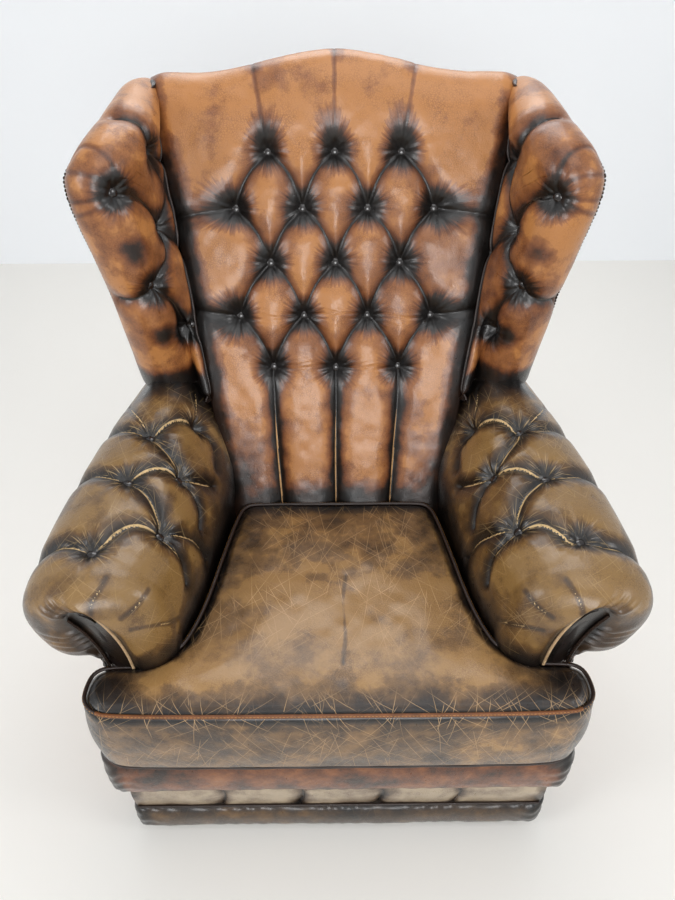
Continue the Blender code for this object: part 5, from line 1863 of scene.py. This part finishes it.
class CHAIR_OT_outside(bpy.types.Operator):
    """The plain hide panels outside the back, arms and wings, and their nails"""
    bl_idname = "wing_chair.outside"
    bl_label = "Outside panels"

    def execute(self, context):
        hides = finishes()
        hide = hides["antique_tan_hide"]
        z = np.linspace(PANEL_FOOT, PANEL_TOP + 0.004, 190)
        share = np.linspace(-1, 1, 110)
        half = outside_half(z)
        x = half[:, None] * share
        rim = np.minimum(half[:, None] - np.abs(x), np.minimum(z - z[0], z[-1] - z)[:, None])
        crown = 1 - (1 - np.clip(rim / 0.060, 0, 1)) ** 2
        y = outside_back(z)[:, None] + 0.0045 * (crown - 0.1)
        grid = np.stack([x, y, z[:, None].repeat(110, axis=1)], axis=2)
        grid[:, :, 1] += 0.0013 * lumps(grid, 0.090, 61) * crown
        # painted shade: darker towards the panel's edges, where it meets the next parts
        dye_and_shade = 0.72 * fade(-0.010, 0.075, rim.ravel())
        marks = plain_marks(rim.size, dye_and_shade, 0.15, 0.6)
        piece = cover("outside_back_cover", grid, marks, hide)
        thicken(piece)
        fitted(piece, "tan_leather", "outside_back")
        rows = [grid[1:-1, 2], grid[1:-1, -3], grid[-2, 2:-2]]
        self.nails("back_panel_nails", rows, (0, 1, 0), hides)
        for side, hand in HANDS:
            rear = lambda h: outside_back(h) - 0.001
            front = lambda h: np.where(
                h > deck_height(ARM_PANEL_FRONT), ARM_PANEL_FRONT, FRONT_RAIL_FACE)
            sheet = panel_sheet(
                "outside_arm_cover_" + hand, front, rear, PANEL_FOOT, ARM_PANEL_TOP,
                lambda y, h: side_x(y), side, hide, "outside_arm_" + hand)
            rows = [sheet[1:-1, 1], sheet[1, 2:-2]]
            self.nails("arm_panel_nails_" + hand, rows, (side, 0, 0), hides)
            top = WING_TOP - 0.040
            lead = lambda h: WING_PANEL_FRONT + np.interp(
                h, (top - 0.055, top - 0.025, top), (0, 0.012, 0.045))
            tail = lambda h: outside_back(h) - 0.001 - np.interp(h, (PANEL_TOP, top), (0, 0.060))
            panel_sheet(
                "outside_wing_cover_" + hand, lead, tail, ARM_HEIGHT + 0.0005, top,
                wing_x, side, hide, "outside_wing_" + hand, 0.002)
            # a strip of the same hide closes the wing behind, from its panel to the back's
            z = np.linspace(ARM_HEIGHT + 0.003, top - 0.004, 64)
            near = np.column_stack([outside_half(z) - 0.003, outside_back(z) - 0.004, z])
            far = np.column_stack([wing_x(tail(z) - 0.004, z) - 0.004, tail(z) - 0.004, z])
            share = np.linspace(0, 1, 9)[None, :, None]
            sheet = (near[:, None] * (1 - share) + far[:, None] * share) * (side, 1, 1)
            # painted shade: the strip is darker all over, in the gap between the outside back and
            # the wing
            marks = plain_marks(sheet[:, :, 0].size, 0.45, 0.15, 0.6)
            strip = cover("wing_rear_strip_" + hand, sheet, marks, hide)
            thicken(strip, 0.002, 0)
            fitted(strip, "tan_leather")
        return {"FINISHED"}

    def nails(self, name, rows, facing, hides):
        step = sizes().nail_step * 2.6
        spots = []
        for row in rows:
            far = np.linalg.norm(np.diff(row, axis=0), axis=1).sum()
            spots.append(evenly(row, max(2, int(far / step))))
        ways = np.concatenate([along_run(run) for run in spots])
        spots = np.concatenate(spots) + np.array(facing) * 0.0008
        piece = beads(
            name, spots, np.tile(facing, (len(spots), 1)), ways, hides["lacquered_nails"],
            PANEL_NAIL, fineness=(8, 6), uneven=0.04, seed=17)
        fitted(piece, "facing_leather")


def deck_height(y):
    return BASE_TOP - 0.003 - SEAT_SLOPE * y


class CHAIR_OT_frame(bpy.types.Operator):
    """Finishes for the wood, springs, deck, lining and glides that stay as they are"""
    bl_idname = "wing_chair.frame"
    bl_label = "Frame"

    def execute(self, context):
        hides = finishes()
        kinds = (
            (("seat_rail", "back_rail", "crest_rail", "corner_block", "arm_post", "arm_rail",
              "back_post", "wing_rail"), "sawn_beech"),
            (("seat_spring",), "spring_wire"),
            (("seat_deck",), "jute_hessian"),
            (("seat_cushion_core",), "open_foam"),
            (("dust_cover",), "bonded_lining"),
            (("glide",), "moulded_glide"),
            (("back_button",), "polished_button_hide"),
        )
        for name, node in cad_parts.items():
            for starts, finish in kinds:
                if name.startswith(starts):
                    for slot in node.material_slots:
                        slot.material = hides[finish]
        return {"FINISHED"}


STAGE_HALF = 6
WALL_BEHIND = 1.61
# each lamp: its place, what it points at, its side in metres and its power in watts
LAMPS = (
    ("ceiling_box", (0.2, -0.4, 2.7), (0.0, 0.0, 0.4), 1.4, 9.0),
    ("rear_box", (0.0, 1.35, 2.15), (0.0, -0.3, 0.45), 1.4, 23.0),
    ("left_box", (-2.4, -1.3, 1.9), (0.0, 0.0, 0.6), 1.0, 22.0),
    ("right_box", (2.3, -1.0, 2.0), (0.0, 0.0, 0.6), 0.9, 16.0),
    ("front_box", (0.1, -3.0, 1.9), (0.0, 0.0, 0.6), 1.3, 42.0),
)


class CHAIR_OT_stage(bpy.types.Operator):
    """The pale floor and wall, the lights and the camera"""
    bl_idname = "wing_chair.stage"
    bl_label = "Stage"

    def execute(self, context):
        scene = context.scene
        scene.view_settings.view_transform = "Standard"
        wide, behind = STAGE_HALF, WALL_BEHIND
        floor = [(-wide, -5, 0), (wide, -5, 0), (wide, behind, 0), (-wide, behind, 0)]
        wall = [(-wide, behind, 0), (wide, behind, 0), (wide, behind, 5), (-wide, behind, 5)]
        self.sheet("floor", floor, "EDEBE6", 0.55, 0.08)
        self.sheet("wall", wall, "E3E6E9", 0.8, 0.22)
        world = bpy.data.worlds.new("studio_air")
        world.use_nodes = True
        tree = world.node_tree
        dim = add(tree, "ShaderNodeBackground", Color=linear("F2F4F7"), Strength=0.36)
        pale = add(tree, "ShaderNodeBackground", Color=linear("E6E9EC"), Strength=0.85)
        both = add(
            tree, "ShaderNodeMixShader", _0=self.seen(tree), _1=dim.outputs[0], _2=pale.outputs[0])
        tree.links.new(both.outputs[0], tree.nodes["World Output"].inputs["Surface"])
        scene.world = world
        for lamp in LAMPS:
            self.lamp(*lamp)
        lens = bpy.data.cameras.new("camera")
        lens.sensor_fit = "VERTICAL"
        lens.sensor_height = SENSOR
        lens.lens = FOCAL_PIXELS / PHOTO_SIZE[1] * SENSOR
        camera = bpy.data.objects.new("camera", lens)
        camera.location = (CAMERA_X, CAMERA_DEPTH + SHIFT, CAMERA_HEIGHT)
        camera.rotation_euler = (math.pi / 2 - CAMERA_PITCH, 0.0, -CAMERA_YAW)
        scene.collection.objects.link(camera)
        scene.camera = camera
        return {"FINISHED"}

    def seen(self, tree):
        """1 where a camera, glossy or transmission ray meets the stage."""
        rays = add(tree, "ShaderNodeLightPath").outputs
        seen = rays["Is Camera Ray"]
        for ray in ("Is Glossy Ray", "Is Transmission Ray"):
            seen = add(tree, "ShaderNodeMath", MAXIMUM, _0=seen, _1=rays[ray]).outputs[0]
        return seen

    def sheet(self, name, corners, colour, rough, lift):
        mesh = bpy.data.meshes.new(name)
        mesh.from_pydata(corners, [], [(0, 1, 2, 3)])
        made = bpy.data.materials.new(name + "_paint")
        made.use_nodes = True
        shader = made.node_tree.nodes["Principled BSDF"]
        shader.inputs["Base Color"].default_value = linear(colour)
        shader.inputs["Roughness"].default_value = rough
        # the stage is lifted to the pale tone of a lit studio where it is seen, not by more light
        shader.inputs["Emission Color"].default_value = linear(colour)
        glow = add(
            made.node_tree, "ShaderNodeMath", MULTIPLY, _0=self.seen(made.node_tree), _1=lift)
        made.node_tree.links.new(glow.outputs[0], shader.inputs["Emission Strength"])
        mesh.materials.append(made)
        piece = bpy.data.objects.new(name, mesh)
        bpy.context.scene.collection.objects.link(piece)

    def lamp(self, name, place, aim, size, power):
        light = bpy.data.lights.new(name, "AREA")
        light.shape = "SQUARE"
        light.size = size
        light.energy = power
        piece = bpy.data.objects.new(name, light)
        piece.location = place
        piece.rotation_euler = (Vector(aim) - Vector(place)).to_track_quat("-Z", "Y").to_euler()
        bpy.context.scene.collection.objects.link(piece)


class CHAIR_PT_panel(bpy.types.Panel):
    """Lists the chair's sizes, colours and pieces"""
    bl_label = "Wing Chair"
    bl_idname = "CHAIR_PT_panel"
    bl_space_type = "VIEW_3D"
    bl_region_type = "UI"
    bl_category = "Wing Chair"

    def draw(self, context):
        for group in (sizes(), colours()):
            box = self.layout.box()
            for name in group.bl_rna.properties.keys():
                if name not in ("rna_type", "name"):
                    box.prop(group, name)
        for operator in OPERATORS:
            self.layout.operator(operator.bl_idname)


OPERATORS = (
    CHAIR_OT_frame, CHAIR_OT_back, CHAIR_OT_wings, CHAIR_OT_arms, CHAIR_OT_cushion,
    CHAIR_OT_base, CHAIR_OT_outside, CHAIR_OT_stage,
)
CLASSES = (WingChairSizes, WingChairColours, *OPERATORS, CHAIR_PT_panel)


def register():
    for made in CLASSES:
        bpy.utils.register_class(made)
    bpy.types.Scene.wing_chair_sizes = bpy.props.PointerProperty(type=WingChairSizes)
    bpy.types.Scene.wing_chair_colours = bpy.props.PointerProperty(type=WingChairColours)


def unregister():
    del bpy.types.Scene.wing_chair_colours
    del bpy.types.Scene.wing_chair_sizes
    for made in reversed(CLASSES):
        bpy.utils.unregister_class(made)


def main():
    register()
    bpy.ops.wing_chair.frame()
    bpy.ops.wing_chair.back()
    bpy.ops.wing_chair.wings()
    bpy.ops.wing_chair.arms()
    bpy.ops.wing_chair.cushion()
    bpy.ops.wing_chair.base()
    bpy.ops.wing_chair.outside()
    bpy.ops.wing_chair.stage()


if __name__ == "__main__":
    main()
